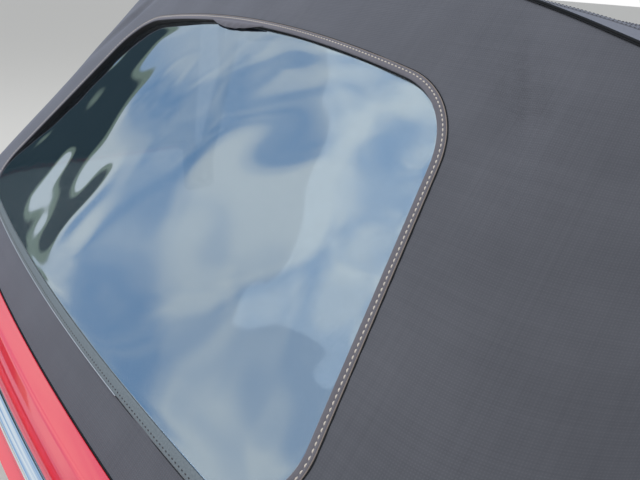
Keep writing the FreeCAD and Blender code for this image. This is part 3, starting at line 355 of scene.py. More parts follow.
share = np.linspace(0, 1, AROUND, endpoint=False)
inner_u, inner_v = find_on_skin(*window_edge(share))
outer_u, outer_v = frame_edge(share)
reach = np.linspace(0, 1, OUTWARD)[:, None] ** 1.25
grid_u = inner_u + (outer_u - inner_u) * reach
grid_v = inner_v + (outer_v - inner_v) * reach
flat_skin = skin(grid_u, grid_v)
away = np.linalg.norm(flat_skin - flat_skin[:1], axis=-1)
relief = fabric_relief(grid_u, grid_v, away, share[None, :])
normal = np.cross(np.gradient(flat_skin, axis=1), np.gradient(flat_skin, axis=0))
normal /= np.linalg.norm(normal, axis=-1)[..., None]
normal *= np.sign(np.sum(normal * (flat_skin - [0, 0.35, 0.1]), axis=-1))[..., None]
rear_fabric = grid_piece(
    "rear_fabric", flat_skin + normal * relief[..., None], cloth_uv(grid_u, grid_v),
    closed=True, flip=True)
thicken(rear_fabric, CLOTH)
print("rear fabric faces", len(rear_fabric.data.polygons))

# %% [markdown]
# The window is one piece of clear flexible vinyl 1 mm thick. Long ripples run up the slope and
# short ones along the sewn edges, and these bend the mirrored sky. Its grid is a patch between
# the outline's four edges. Its sides and top are sewn to the zip's inner tape, some millimetres
# under the fabric, and its foot lies flush.

# %% Window sheet
PANE_ACROSS, PANE_UP = 290, 165
PANE_THICK, PANE_SINK = 1 * MM, 7 * MM
# Long dents by the far side bend the mirrored horizon into a loop. Each has its height in
# millimetres, then its place, width and length in metres and its turn.
PANE_DENTS = (
    (1.9, (-0.070, 0.152), 0.025, 0.066, 0.03), (1.2, (-0.150, 0.088), 0.030, 0.030, 0.0),
    (-1.0, (-0.205, 0.190), 0.030, 0.090, 0.10), (0.8, (-0.330, 0.150), 0.016, 0.045, 0.10))
lower_corner = HALF_ALONG[ARC_POINTS + ARC_POINTS // 2] / WAY_ROUND
upper_corner = HALF_ALONG[2 * ARC_POINTS + ARC_POINTS // 2] / WAY_ROUND


def outline_patch(s, t, grow):
    """Coons patch in the flat pattern: the outline's four edges blended across and up, less the
    blend of its corners. s runs left to right, t bottom to top."""
    a, b = lower_corner, upper_corner

    def edge(share):
        return np.stack(window_edge(share, grow), -1)

    bottom, top = edge(a * (2 * s - 1)), edge((1 - b) + (2 * b - 1) * s)
    left, right = edge((1 - a) - (b - a) * t), edge(a + (b - a) * t)
    corners = [[edge(-a), edge(a)], [edge(1 - b), edge(b)]]
    s, t = s[..., None], t[..., None]
    blend_corners = sum(
        (t if row else 1 - t) * (s if column else 1 - s) * corners[row][column]
        for row in (0, 1) for column in (0, 1))
    return (1 - t) * bottom + t * top + (1 - s) * left + s * right - blend_corners


def sink(x, t):
    """How deep the sheet's edge lies under the fabric: none at its foot and all of it further up,
    on the left side. Towards the right, where the sheet is drawn tighter, a third of it."""
    share_left = 0.32 + 0.68 * smoothstep((-0.02 - x) / 0.28)
    return 0.1 * MM + PANE_SINK * share_left * smoothstep(t / 0.45)


def bell(x, up, at, width, length, turn):
    """exp(-a^2 - b^2): a and b are the distances from a place across and along a turned axis."""
    dx, dy = x - at[0], up - at[1]
    along = dx * math.sin(turn) + dy * math.cos(turn)
    across = dx * math.cos(turn) - dy * math.sin(turn)
    return np.exp(-(across / width) ** 2 - (along / length) ** 2)


def ripples(x, up, s, t):
    """Height of the sheet's ripples: long ones up the slope, leaning ones, the dents, and short
    ones that fade inward from the sewn edges. Each is a height in millimetres times the sine of
    a distance over a wavelength in metres."""
    margin = np.minimum(np.minimum(s, 1 - s) * 2.2, np.minimum(t, 1 - t) * 1.3)
    inside = smoothstep(margin / 0.16)
    wobble = 0.03 * np.sin(2 * np.pi * up / 0.37)
    wobble += 0.012 * np.sin(2 * np.pi * (up / 0.21 + x / 0.5))
    long_waves = 1.15 * np.sin(2 * np.pi * (x + wobble) / 0.25 + 0.8)
    long_waves += 0.30 * np.sin(2 * np.pi * (x - 1.4 * wobble) / 0.135 + 2.1)
    leaning = 0.34 * np.sin(2 * np.pi * (0.92 * x + 0.39 * up) / 0.19 + 1.3)
    leaning += 0.07 * np.sin(2 * np.pi * (0.85 * x - 0.50 * up + 0.02 * np.sin(14 * x)) / 0.085)
    dents = sum(height * bell(x, up, *shape) for height, *shape in PANE_DENTS)
    edge_waves = 0.22 * np.exp(-margin / 0.10) * np.sin(2 * np.pi * (up - 0.4 * x) / 0.055)
    return MM * (inside * (long_waves + leaning + dents) + smoothstep(margin / 0.03) * edge_waves)


s, t = np.meshgrid(np.linspace(0, 1, PANE_ACROSS), np.linspace(0, 1, PANE_UP))
flat = outline_patch(s, t, -0.3 * MM)
flat_x, flat_up = flat[..., 0], flat[..., 1]
lift = -sink(flat_x, t) - 0.6 * MM * smoothstep(t / 0.1) + ripples(flat_x, flat_up, s, t)
pane = grid_piece("window_sheet", on_skin(flat_x, flat_up, lift), flat)
thicken(pane, PANE_THICK)
print("window sheet faces", len(pane.data.polygons))

# %% [markdown]
# Round the sides and the top runs a woven binding 8 mm wide, folded over the fabric's cut edge
# and sewn with one row of pale thread; along the foot runs a vinyl border. Fine cords lie along
# their edges: a paler one on the binding's folded edge, a black one just outside it that is a
# painted shadow line, and on the border's edge a pale painted highlight that ends in a dark
# painted shade line. Between binding and sheet stands the inner wall, the zip's black tape on
# edge, whose black also paints the shade in the gap there.

# %% Binding, inner wall and lower border
TAPE_WIDTH, TAPE_THICK = 8 * MM, 1.2 * MM
STITCH_AT = 0.62
FOOT_UP = FOOT[1][1]
foot_share = float(np.interp(FOOT_UP, HALF[:, 1], HALF_ALONG) / WAY_ROUND)


def along_outline(name, start, end, count, profile):
    """Profile of (grow, lift) points swept along the outline between two shares."""
    share = np.linspace(start, end, count)[:, None]
    grow, lift = profile.T[:, None, :]
    x, up = window_edge(share, grow)
    uv = uv_grid(share * WAY_ROUND, arc_lengths(profile))
    return sweep(name, on_skin(x, up, lift), uv)


def rounded_band(start, end, thick, edge, groove_at=None, groove=0.0):
    """Flat band from start to end across the outline: bevelled edges and an optional groove."""
    top = [(start, 0.35 * thick), (start + 0.35 * edge, 0.8 * thick), (start + edge, thick)]
    if groove_at is not None:
        for step, depth in ((-0.9, 0), (-0.35, 0.7), (0, 1), (0.35, 0.7), (0.9, 0)):
            top.append((groove_at + step * MM, thick - depth * groove))
    top += [(end - edge, thick), (end - 0.35 * edge, 0.8 * thick), (end, 0.35 * thick)]
    return np.array(top + [(end, -0.2 * MM), (start, -0.2 * MM)])


def fine_cord(name, start, end, count, grow, lift, radius):
    """Round cord beside a tape, at a distance from the window's outline."""
    angle = np.linspace(0, 2 * math.pi, 9)[:-1]
    ring = np.stack([grow + radius * np.cos(angle), lift + radius * np.sin(angle)], -1)
    return along_outline(name, start, end, count, ring)


tape_profile = rounded_band(
    -0.6 * MM, TAPE_WIDTH, TAPE_THICK, 1.5 * MM, STITCH_AT * TAPE_WIDTH, 0.35 * MM)
binding = along_outline("window_tape", foot_share, 1 - foot_share, 1500, tape_profile)

BORDER_WIDTH, BORDER_THICK = 10 * MM, 0.8 * MM
border_profile = rounded_band(-1.2 * MM, BORDER_WIDTH, BORDER_THICK, 3.0 * MM)
border = along_outline("lower_border", -foot_share, foot_share, 700, border_profile)

# The border's edge has a pale cord, a painted highlight, to this share of its right half, and
# a dark cord, a painted shade line, from there.
HIGHLIGHT_END = 0.57 * foot_share
# The black piping cord just outside the binding is a painted shadow line.
border_highlight_cord, border_shade_cord, tape_lip, shadow_cord = (fine_cord(*cord) for cord in (
    ("border_highlight_cord", -foot_share, HIGHLIGHT_END, 500, BORDER_WIDTH + 0.3 * MM, 0.5 * MM, 0.6 * MM),
    ("border_shade_cord", HIGHLIGHT_END, foot_share, 300, BORDER_WIDTH + 0.2 * MM, 0.1 * MM, 0.45 * MM),
    ("tape_lip", foot_share, 1 - foot_share, 1200, TAPE_WIDTH + 0.1 * MM, 0.55 * MM, 0.5 * MM),
    ("tape_shadow_cord", foot_share, 1 - foot_share, 1200, TAPE_WIDTH + 1.1 * MM, 0.05 * MM, 0.6 * MM)))

# The zip's black tape stands on edge between binding and sheet; its black also paints the shade in
# the gap there.
WALL_PAST_FOOT = 0.012
wall_start = foot_share - WALL_PAST_FOOT
wall_share = np.linspace(wall_start, 1 - wall_start, 1200)[None, :]
wall_flat = window_edge(wall_share, -0.2 * MM)
wall_t = np.clip((wall_flat[1] - FOOT_UP) / (TOP[0] - FOOT_UP), 0, 1)
wall_down = np.linspace(0, 1, 7)[:, None]
wall_lift = -0.2 * MM - wall_down * (sink(wall_flat[0], wall_t) + 1.6 * MM)
wall_grow = -0.3 * MM - 0.5 * MM * np.sin(np.pi * wall_down)
zip_and_shade_wall = grid_piece(
    "zip_and_shade_wall", on_skin(*window_edge(wall_share, wall_grow), wall_lift),
    np.stack(np.broadcast_arrays(wall_share * WAY_ROUND, wall_down * 0.01), -1))
thicken(zip_and_shade_wall, 0.8 * MM)
print("binding faces", len(binding.data.polygons))

# %% [markdown]
# Thread shows as short pale dashes about 5 mm apart. Each stitch is a capsule that dips into the
# cloth at both ends, and all of a row are worked out at once.

# %% Stitches
STITCH_PITCH, STITCH_LENGTH, STITCH_RADIUS = 5.2 * MM, 4.0 * MM, 0.75 * MM
STITCH_RINGS, STITCH_SIDES = 5, 6


def stitches(name, middles, directions, outward):
    """Capsules along each direction. Their girth is the root of sin(pi t) along the length t, and
    they arch by the same sine, so that the ends go into the cloth."""
    t = np.linspace(0, 1, STITCH_RINGS)[None, :, None]
    turn = np.linspace(0, 2 * np.pi, STITCH_SIDES, endpoint=False)[None, None, :]
    along = directions / np.linalg.norm(directions, axis=-1)[:, None]
    out = outward - np.sum(outward * along, axis=-1)[:, None] * along
    out /= np.linalg.norm(out, axis=-1)[:, None]
    across = np.cross(along, out)
    girth = np.sqrt(np.sin(np.pi * np.clip(t, 0.02, 0.98)))
    height = girth * np.sin(turn) + 0.9 * np.sin(np.pi * t) - 0.6
    middles, along, across, out = (a[:, None, None, :] for a in (middles, along, across, out))
    points = (
        middles + along * ((t - 0.5) * STITCH_LENGTH)[..., None]
        + across * (STITCH_RADIUS * girth * np.cos(turn))[..., None]
        + out * (STITCH_RADIUS * height)[..., None])
    one = grid_faces(STITCH_RINGS, STITCH_SIDES, closed=True)
    size = STITCH_RINGS * STITCH_SIDES
    shift = np.arange(len(middles))[:, None, None] * size
    piece = new_piece(name, points, (one[None] + shift).reshape(-1, 4))
    return fill_ends(piece, STITCH_SIDES, smooth=True)


def row_on_outline(name, start, end, grow, lift):
    """Stitches in a row that follows the window's outline, one pitch apart."""
    count = int((end - start) * WAY_ROUND / STITCH_PITCH)
    share = start + (np.arange(count) + 0.5) / count * (end - start)
    step = 0.25 * STITCH_PITCH / WAY_ROUND
    middle, after = (
        on_skin(*window_edge(share + d, grow), lift) for d in (0, step))
    return stitches(name, middle, after - middle, SLOPE_OUT)


tape_start, border_reach = foot_share + 0.004, 0.96 * foot_share
tape_thread = row_on_outline(
    "tape_thread", tape_start, 1 - tape_start, STITCH_AT * TAPE_WIDTH, TAPE_THICK - 0.25 * MM)
border_thread = row_on_outline("border_thread", -border_reach, border_reach, 6.5 * MM, 0.45 * MM)
print("stitches on the binding", len(tape_thread.data.vertices) // (STITCH_RINGS * STITCH_SIDES))

# %% [markdown]
# Near the middle of the top, the cloth under the binding has slipped and bulges over the gap in
# a crumpled lip: a lens along the outline, with two sines of different lengths for its creases.

# %% Crumpled lip
lip_along, lip_across = np.meshgrid(np.linspace(0, 1, 90), np.linspace(0, 1, 16))
LIP_START, LIP_END, LIP_WIDTH = 0.492, 0.548, 9 * MM
lens = np.sin(np.pi * lip_along ** 1.25) ** 0.8
lip_share = LIP_START + (LIP_END - LIP_START) * lip_along
lip_x, lip_up = window_edge(lip_share, -LIP_WIDTH * lens * lip_across)
crumple = 0.6 * np.sin(9 * np.pi * lip_along + 3 * lip_across)
crumple += 0.4 * np.sin(15 * np.pi * lip_along - 5 * lip_across)
bulge = 2.0 * np.sin(np.pi * lip_across) - 2.6 * lip_across + 0.7 * crumple * lip_across
crumpled_lip = grid_piece(
    "crumpled_lip", on_skin(lip_x, lip_up, MM * (0.9 + lens * bulge)),
    np.stack([lip_along * 0.11, lip_across * LIP_WIDTH], -1), flip=True)
thicken(crumpled_lip, 1.0 * MM)
print("crumpled lip, mm long", round((LIP_END - LIP_START) * WAY_ROUND / MM))

# %% [markdown]
# The painted deck collar and the bright strip run round the hem, each one profile carried along
# it. The collar's has softly rounded bends, as pressed sheet has: a broad face that mirrors the
# sky, a rolled edge that falls away, and a ledge. The strip is a low bright arch on that ledge.

# %% Deck collar and bright strip
def rounded_path(points, radii, steps=7):
    """Closed path with each corner replaced by a quadratic curve that starts and ends a radius
    away from it."""
    def towards(other):
        way = other - points
        return points + way / np.linalg.norm(way, axis=1)[:, None] * radii[:, None]

    start, end = towards(np.roll(points, 1, axis=0)), towards(np.roll(points, -1, axis=0))
    t = np.linspace(0, 1, steps)[None, :, None]
    start, bend, end = (a[:, None] for a in (start, points, end))
    return ((1 - t) ** 2 * start + 2 * t * (1 - t) * bend + t ** 2 * end).reshape(-1, 2)


def along_hem(name, profile, count=520):
    """Closed profile of (inset, height) carried along the hem line."""
    u = np.linspace(0, 5, count)
    points = np.stack([hem_line(u, inset, height) for inset, height in profile], axis=1)
    return sweep(name, points, uv_grid(arc_lengths(hem_line(u)), arc_lengths(profile)))


# Each corner of the collar's section: inset, height and the radius of its bend.
COLLAR = MM * np.array([
    (-1.4, -14, 0.3), (-1.4, 5.9, 2.0), (-20.5, 3.8, 3.4), (-33.5, -11.3, 1.8), (-36.2, -13.8, 1.2),
    (-66, -14, 0.6), (-66, -16, 0.6), (-35.3, -15.9, 1.2), (-32, -12.8, 1.6), (-19.4, 1.7, 2.6),
    (-4.2, 3.6, 0.6), (-4.2, -14, 0.3)])
collar = along_hem("painted_collar", rounded_path(COLLAR[:, :2], COLLAR[:, 2]))

STRIP_INSET, STRIP_HALF, STRIP_FOOT, STRIP_RISE = -47.2 * MM, 9.4 * MM, -13.9 * MM, 10.9 * MM
arch_angle = np.linspace(0, math.pi, 15)
strip_arch = np.stack([
    STRIP_INSET + STRIP_HALF * np.cos(arch_angle),
    STRIP_FOOT + STRIP_RISE * np.sin(arch_angle) ** 0.75], -1)
strip = along_hem("polished_strip", strip_arch)
print("collar faces", len(collar.data.polygons))

# %% [markdown]
# The roof ahead of the seam is three panels of the same canvas, from bow to bow and on to the
# header. Each is a ruled surface between two arches that sags a few millimetres between them.

# %% Roof panels
SIDE_HEIGHT = float(shoulder_line(np.array([5.0]))[0, 2])
MAIN_ARCH = (600 * MM, 585 * MM, SIDE_HEIGHT, 92 * MM)
FRONT_ARCH = (850 * MM, 570 * MM, SIDE_HEIGHT - 4 * MM, 64 * MM)
HEADER_HALF, HEADER_END_Y, HEADER_REACH = 545 * MM, 1065 * MM, 45 * MM
HEADER_EDGE, HEADER_RISE = SIDE_HEIGHT - 16 * MM, 45 * MM
BOW_SPLIT = SHOULDER["half"] + 10 * MM


def arch(x_share, y, half, edge, rise):
    """Circular arch across the car, between ends at the edge height."""
    radius = (half ** 2 + rise ** 2) / (2 * rise)
    x = x_share * half
    return np.stack([x, y + 0 * x, edge + rise - radius + np.sqrt(radius ** 2 - x ** 2)], -1)


def header_line(x_share):
    """The header's front edge: a circle through its ends and its middle, in its tilted plane."""
    bulge = math.hypot(HEADER_REACH, HEADER_RISE)
    radius = (HEADER_HALF ** 2 + bulge ** 2) / (2 * bulge)
    x = x_share * HEADER_HALF
    up = 1 - (radius - np.sqrt(radius ** 2 - x ** 2)) / bulge
    return np.stack([x, HEADER_END_Y + up * HEADER_REACH, HEADER_EDGE + up * HEADER_RISE], -1)


def seam_line(x_share):
    """The roof's rear edge, just ahead of the rear bow's seam."""
    return shoulder_line(2.5 + 1.5 * x_share) + [0, PANEL_GAP, 0]


def main_line(x_share):
    """The main arch, with its points spaced as those of the rear bow's seam are."""
    side = np.abs(x_share)
    split = BOW_SPLIT / MAIN_ARCH[1]
    share = np.where(side < 1 / 3, 3 * side * split, split + 1.5 * (side - 1 / 3) * (1 - split))
    return arch(np.sign(x_share) * np.minimum(share, 1), *MAIN_ARCH)


PANEL_ACROSS = 240
PANEL_GAP = 0.4 * MM


def roof_panel(name, rear, front, rows, sag):
    """Panel between two lines over the share across, sagging by a sine between them."""
    w, f = np.linspace(-1, 1, PANEL_ACROSS), np.linspace(0, 1, rows)[:, None, None]
    points = (1 - f) * rear(w) + f * front(w)
    w = w[:, None]
    hang = sag * np.sin(np.pi * f) * smoothstep((1 - np.abs(w)) / 0.12)
    wave = 0.5 * MM * np.sin(2 * np.pi * (3.1 * w + 0.4 * f)) * np.sin(np.pi * f)
    points = points - (hang + wave) * [0, 0, 1]
    return thicken(grid_piece(name, points, points[..., :2]), CLOTH)


def main_arch(x_share):
    """The seam over the main bow."""
    return arch(x_share, *MAIN_ARCH)


def front_arch(x_share, ahead=0.0):
    """The seam over the front bow, moved ahead."""
    return arch(x_share, *FRONT_ARCH) + [0, ahead, 0]


roof_rear = roof_panel("roof_rear_cloth", seam_line, main_line, 60, 2.5 * MM)
roof_mid = roof_panel("roof_mid_cloth", main_arch, front_arch, 80, 1.6 * MM)
roof_front = roof_panel(
    "roof_front_cloth", lambda w: front_arch(w, PANEL_GAP), header_line, 70, -1.0 * MM)
print("roof panel faces", [len(panel.data.polygons) for panel in (roof_rear, roof_mid, roof_front)])

# %% [markdown]
# Over the rear bow a black drip strip, a round bead on a flat foot, covers the seam and carries
# rain to the sides; its black also paints the shade line along the roof's edge there. Welts, flat
# bands of canvas sewn down on both sides, cover the seams over the other bows.

# %% Drip strip, welts and their thread
def along_line(name, line_points, outward, profile):
    """Closed profile of (aside, out) pairs carried along a row of points: out along the outward
    direction made square to the line, aside along the line's other normal."""
    tangent = np.gradient(line_points, axis=0)
    tangent /= np.linalg.norm(tangent, axis=1)[:, None]
    out = outward - np.sum(outward * tangent, axis=1)[:, None] * tangent
    out /= np.linalg.norm(out, axis=1)[:, None]
    aside = np.cross(tangent, out)
    points = line_points[:, None] + aside[:, None] * profile[:, :1] + out[:, None] * profile[:, 1:]
    return sweep(name, points, uv_grid(arc_lengths(line_points), arc_lengths(profile)))


seam_points = shoulder_line(np.linspace(0.02, 4.98, 700))
seam_outward = seam_points - np.array([0, 0.47, 0.05])
bead = [(1.3 * math.cos(a), 1.2 + 1.3 * math.sin(a)) for a in np.linspace(-0.7, math.pi + 0.7, 11)]
DRIP_SHAPE = np.array(bead + [(-2.4, 0.4), (-2.4, -0.4), (2.4, -0.4), (2.4, 0.4)]) * MM
# Black drip strip; its black also paints the shade line along the roof's edge.
drip_strip_and_edge_shade = along_line("drip_strip_and_edge_shade", seam_points, seam_outward, DRIP_SHAPE)

WELT_SHAPE = np.array([(-9, -0.3), (-9, 0.7), (-7.8, 1.2), (7.8, 1.2), (9, 0.7), (9, -0.3)]) * MM
WELT_SEWN_AT = 6.3 * MM
welt_shares = np.linspace(-0.995, 0.995, 300)
UPWARD = np.array([0.0, 0.0, 1.0])


def welt_with_thread(name, line):
    """A welt over a roof seam and two rows of stitches near its edges."""
    points = line(welt_shares)
    band = along_line(name, points, UPWARD, WELT_SHAPE)
    length = arc_lengths(points)
    count = int(length[-1] / STITCH_PITCH)
    at = (np.arange(count) + 0.5) / count * length[-1]
    middle = np.stack([np.interp(at, length, points[:, i]) for i in range(3)], -1)
    rows = np.concatenate([middle + [0, side * WELT_SEWN_AT, 1.05 * MM] for side in (-1, 1)])
    ahead = np.tile(np.gradient(middle, axis=0), (2, 1))
    return band, stitches(name + "_thread", rows, ahead, UPWARD)


main_welt, main_thread = welt_with_thread("main_welt", main_arch)
front_welt, front_thread = welt_with_thread("front_welt", front_arch)
print("drip strip length, m", round(float(arc_lengths(seam_points)[-1]), 2))

# %% [markdown]
# Ten of the new pieces stand for solids of the frame, which then don't show. Each new piece has
# the material slot of the record's subpart that it belongs to.

# %% What each piece stands for
for piece, node in (
        (rear_fabric, "rear_skin"), (pane, "rear_window"), (binding, "window_binding"),
        (border, "window_lower_border"), (zip_and_shade_wall, "window_zip"), (collar, "deck_collar"),
        (strip, "bright_strip"), (roof_rear, "roof_rear_panel"), (roof_mid, "roof_mid_panel"),
        (roof_front, "roof_front_panel")):
    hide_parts(node)

SLOT_PIECES = {
    "roof_cloth": [rear_fabric, crumpled_lip, roof_rear, roof_mid, roof_front, main_welt,
                   main_thread, front_welt, front_thread],
    "clear_vinyl": [pane], "woven_tape": [binding, tape_lip, shadow_cord, tape_thread],
    # The border's pale cord is a painted highlight; its dark cord is painted shade in the zip
    # tape's black.
    "border_vinyl": [border, border_highlight_cord, border_thread], "zip_tape": [border_shade_cord, zip_and_shade_wall],
    "red_paint": [collar], "bright_trim": [strip], "seal_rubber": [drip_strip_and_edge_shade]}
print("new pieces", sum(len(pieces) for pieces in SLOT_PIECES.values()))

# %% [markdown]
# Colours are written as sRGB hex, and one function turns them to the linear values that shaders
# need. Another adds a node. Every pattern's scale comes from a size in millimetres.

# %% Colours and nodes
def linear(hex_colour):
    """Linear RGBA of an sRGB colour written as hex."""
    parts = np.array([int(hex_colour[i:i + 2], 16) for i in (1, 3, 5)]) / 255
    rgb = np.where(parts <= 0.04045, parts / 12.92, ((parts + 0.055) / 1.055) ** 2.4)
    return (*rgb.tolist(), 1.0)


def set_inputs(tree, node, inputs):
    """Sets a node's inputs; each is a value or a (node, output) pair to link."""
    for key, value in inputs.items():
        if isinstance(value, tuple) and len(value) == 2 and isinstance(value[0], bpy.types.Node):
            tree.links.new(value[0].outputs[value[1]], node.inputs[key])
        else:
            node.inputs[key].default_value = value
    return node


def add(tree, kind, inputs=None, **settings):
    """Shader node of a kind with its settings and inputs."""
    node = tree.nodes.new("ShaderNode" + kind)
    for key, value in settings.items():
        setattr(node, key, value)
    return set_inputs(tree, node, inputs or {})


def set_shader(material, inputs):
    """Sets or links inputs of the material's own shader."""
    set_inputs(material.node_tree, material.node_tree.nodes["Principled BSDF"], inputs)
    return material


def new_material(name, inputs):
    """Material with its own shader set by plain values."""
    material = bpy.data.materials.new(name)
    material.use_nodes = True
    return set_shader(material, inputs)


def dress(piece, material):
    """Gives a piece its only material."""
    piece.data.materials.clear()
    piece.data.materials.append(material)


def band_scale(pitch):
    """Scale of a Wave texture whose bands are one pitch apart, in metres."""
    return math.pi / 10 / pitch


print("mid grey, linear", round(linear("#808080")[0], 3))

# %% [markdown]
# The roof is acrylic canvas: two sets of threads at right angles, matt, with a little sheen where
# loose fibres catch light at a slant. Real threads are 0.5 mm apart, too fine to show, so they are
# drawn 2.2 mm apart. Long faint streaks stand for threads that took the dye differently, and a
# broad noise for weathering. The binding is a finer polyester weave, and the thread on it a pale
# filament yarn with a soft gleam.

# %% Canvas
STREAK_LONG, STREAK_WIDE, WEATHER_WIDE = 300 * MM, 3.5 * MM, 90 * MM


def woven(name, dark, light, pitch, relief, streak=0.07, roughness=0.86):
    """Canvas whose threads cross: the product of two waves, over streaks and a broad noise."""
    material = new_material(name, {
        "Roughness": roughness, "Sheen Weight": 0.45, "Sheen Roughness": 0.5,
        "Sheen Tint": linear("#C9D2EA"), "Specular IOR Level": 0.3})
    tree = material.node_tree
    place = add(tree, "UVMap", uv_map="along")
    warp, weft = (add(tree, "TexWave", {
        "Vector": (place, "UV"), "Scale": band_scale(pitch), "Distortion": 0.6, "Detail": 1.0,
        "Detail Scale": 0.4}, bands_direction=direction) for direction in ("X", "Y"))
    crossing = add(tree, "Math", {0: (warp, "Fac"), 1: (weft, "Fac")}, operation="MULTIPLY")
    streaks = []
    for stretch in ((1 / STREAK_LONG, 1 / STREAK_WIDE, 1), (1 / STREAK_WIDE, 1 / STREAK_LONG, 1)):
        turned = add(tree, "Mapping", {"Vector": (place, "UV"), "Scale": stretch})
        streaks.append(add(tree, "TexNoise", {
            "Vector": (turned, "Vector"), "Scale": 1.0, "Detail": 2.0}, noise_dimensions="2D"))
    both = add(tree, "Math", {0: (streaks[0], "Fac"), 1: (streaks[1], "Fac")})
    weather = add(tree, "TexNoise", {
        "Vector": (place, "UV"), "Scale": 1 / WEATHER_WIDE, "Detail": 4.0}, noise_dimensions="2D")
    threads = add(tree, "Math", {0: (crossing, "Value"), 1: 0.10}, operation="MULTIPLY")
    tones = add(tree, "Math", {
        0: (both, "Value"), 1: streak, 2: (threads, "Value")}, operation="MULTIPLY_ADD")
    tone = add(tree, "Math", {
        0: (weather, "Fac"), 1: 0.2, 2: (tones, "Value")}, operation="MULTIPLY_ADD")
    share = add(tree, "MapRange", {
        "Value": (tone, "Value"), "From Min": 0.06, "From Max": 0.36})
    colour = add(tree, "Mix", {
        0: (share, "Result"), 6: linear(dark), 7: linear(light)}, data_type="RGBA")
    bump = add(tree, "Bump", {
        "Height": (crossing, "Value"), "Strength": 0.35, "Distance": relief})
    return set_shader(material, {"Base Color": (colour, 2), "Normal": (bump, "Normal")})


canvas = woven("acrylic_canvas", "#4E5057", "#65676F", 2.2 * MM, 0.22 * MM)
binding_weave = woven(
    "polyester_binding", "#5C5B62", "#7C7A82", 1.6 * MM, 0.25 * MM, streak=0.06, roughness=0.8)
thread_material = new_material("polyester_thread", {
    "Base Color": linear("#D8D0C6"), "Roughness": 0.55, "Sheen Weight": 0.3})
dark_thread = new_material("dark_thread", {
    "Base Color": linear("#3B3B40"), "Roughness": 0.6, "Sheen Weight": 0.3})
print("canvas threads a metre", round(1 / (2.2 * MM)))

# %% [markdown]
# The window is plasticised vinyl, glass-smooth, faintly blue and strongly mirroring at this flat
# angle. A metallic share stands for the bright sky's mirror image, which outshines the cabin
# behind the sheet. Its border is the same vinyl, coloured and embossed; a pale cord along part of
# its edge is a painted highlight. The zip's tape is dull black, and the same black also paints
# shade: the shadow line outside the binding and the dark rest of the border's edge. The binding's
# folded edge is a paler warm grey cord.

# %% Vinyls
EMBOSSED_GRAIN = 1.8 * MM
pane_material = new_material("clear_vinyl_sheet", {
    "Base Color": linear("#CBD4DA"), "Roughness": 0.03, "Metallic": 0.7,
    "Transmission Weight": 1.0, "IOR": 1.53})
border_material = new_material("coloured_vinyl", {"Roughness": 0.36})
tree = border_material.node_tree
place = add(tree, "UVMap", uv_map="along")
grain = add(tree, "TexNoise", {
    "Vector": (place, "UV"), "Scale": 1 / EMBOSSED_GRAIN, "Detail": 2.0}, noise_dimensions="2D")
tint = add(tree, "Mix", {
    0: (grain, "Fac"), 6: linear("#5E6870"), 7: linear("#7E888E")}, data_type="RGBA")
bump = add(tree, "Bump", {
    "Height": (grain, "Fac"), "Strength": 0.2, "Distance": 0.1 * MM})
set_shader(border_material, {"Base Color": (tint, 2), "Normal": (bump, "Normal")})
# Black zip tape; the same black also paints shade: the shadow line outside the binding, the shaded
# end of the border's edge and the gap behind the binding.
black_tape_and_shade = new_material("black_zip_tape_and_painted_shade", {"Base Color": linear("#0E0E10"), "Roughness": 0.6})
# Pale bluish cord along part of the border's edge: a painted highlight.
highlight_material = new_material("painted_highlight_edge", {
    "Base Color": linear("#A6B0BC"), "Roughness": 0.35})
lip_material = new_material("folded_edge", {
    "Base Color": linear("#8C817C"), "Roughness": 0.8, "Sheen Weight": 0.3})
print("vinyl grain, mm", round(EMBOSSED_GRAIN / MM, 1))

# %% [markdown]
# Red enamel under clear lacquer: the colour lies deep, and the lacquer mirrors the sky in a thin
# bright skin, stronger than usual because the real sky is far brighter than this one. The orange
# peel of sprayed paint is a noise 4 mm wide and a few hundredths of a millimetre high. The bows
# have satin black enamel, the strip is chromed, nearly a perfect mirror, and rail, brackets and
# pins are zinc-plated, a pale grey metal with cloudy spots from the bath.

# %% Paints and metals
PEEL_WIDE, PEEL_HIGH, BATH_SPOTS = 4 * MM, 0.03 * MM, 20 * MM


def sprayed(name, colour, roughness, lacquer, lacquer_ior=1.5):
    """Sprayed enamel with orange peel, under a share of clear lacquer."""
    material = new_material(name, {
        "Base Color": linear(colour), "Roughness": roughness, "Coat Weight": lacquer,
        "Coat Roughness": 0.03, "Coat IOR": lacquer_ior})
    tree = material.node_tree
    place = add(tree, "TexCoord")
    peel = add(tree, "TexNoise", {
        "Vector": (place, "Object"), "Scale": 1 / PEEL_WIDE, "Detail": 1.0})
    bump = add(tree, "Bump", {
        "Height": (peel, "Fac"), "Strength": 0.25, "Distance": PEEL_HIGH})
    return set_shader(material, {"Normal": (bump, "Normal"), "Coat Normal": (bump, "Normal")})


red_enamel = sprayed("red_enamel", "#F5122F", 0.35, 1.0, 2.5)
black_enamel = sprayed("satin_black_enamel", "#17181A", 0.42, 0.15)
chrome = new_material("chromium_plate", {
    "Base Color": linear("#F1F3F5"), "Metallic": 1.0, "Roughness": 0.06})

zinc = new_material("bright_zinc_plate", {"Metallic": 1.0})
tree = zinc.node_tree
place = add(tree, "TexCoord")
bath = add(tree, "TexNoise", {
    "Vector": (place, "Object"), "Scale": 1 / BATH_SPOTS, "Detail": 4.0})
zinc_tone = add(tree, "Mix", {
    0: (bath, "Fac"), 6: linear("#A6A89F"), 7: linear("#C9CBCC")}, data_type="RGBA")
zinc_haze = add(tree, "MapRange", {"Value": (bath, "Fac"), "To Min": 0.28, "To Max": 0.5})
set_shader(zinc, {"Base Color": (zinc_tone, 2), "Roughness": (zinc_haze, "Result")})
print("orange peel, mm", round(PEEL_WIDE / MM))

# %% [markdown]
# Rubber seals are matt black with a dusty bloom. The latch handles are moulded from black nylon
# with a fine spark-eroded grain of about 0.8 mm, drawn at its real size.

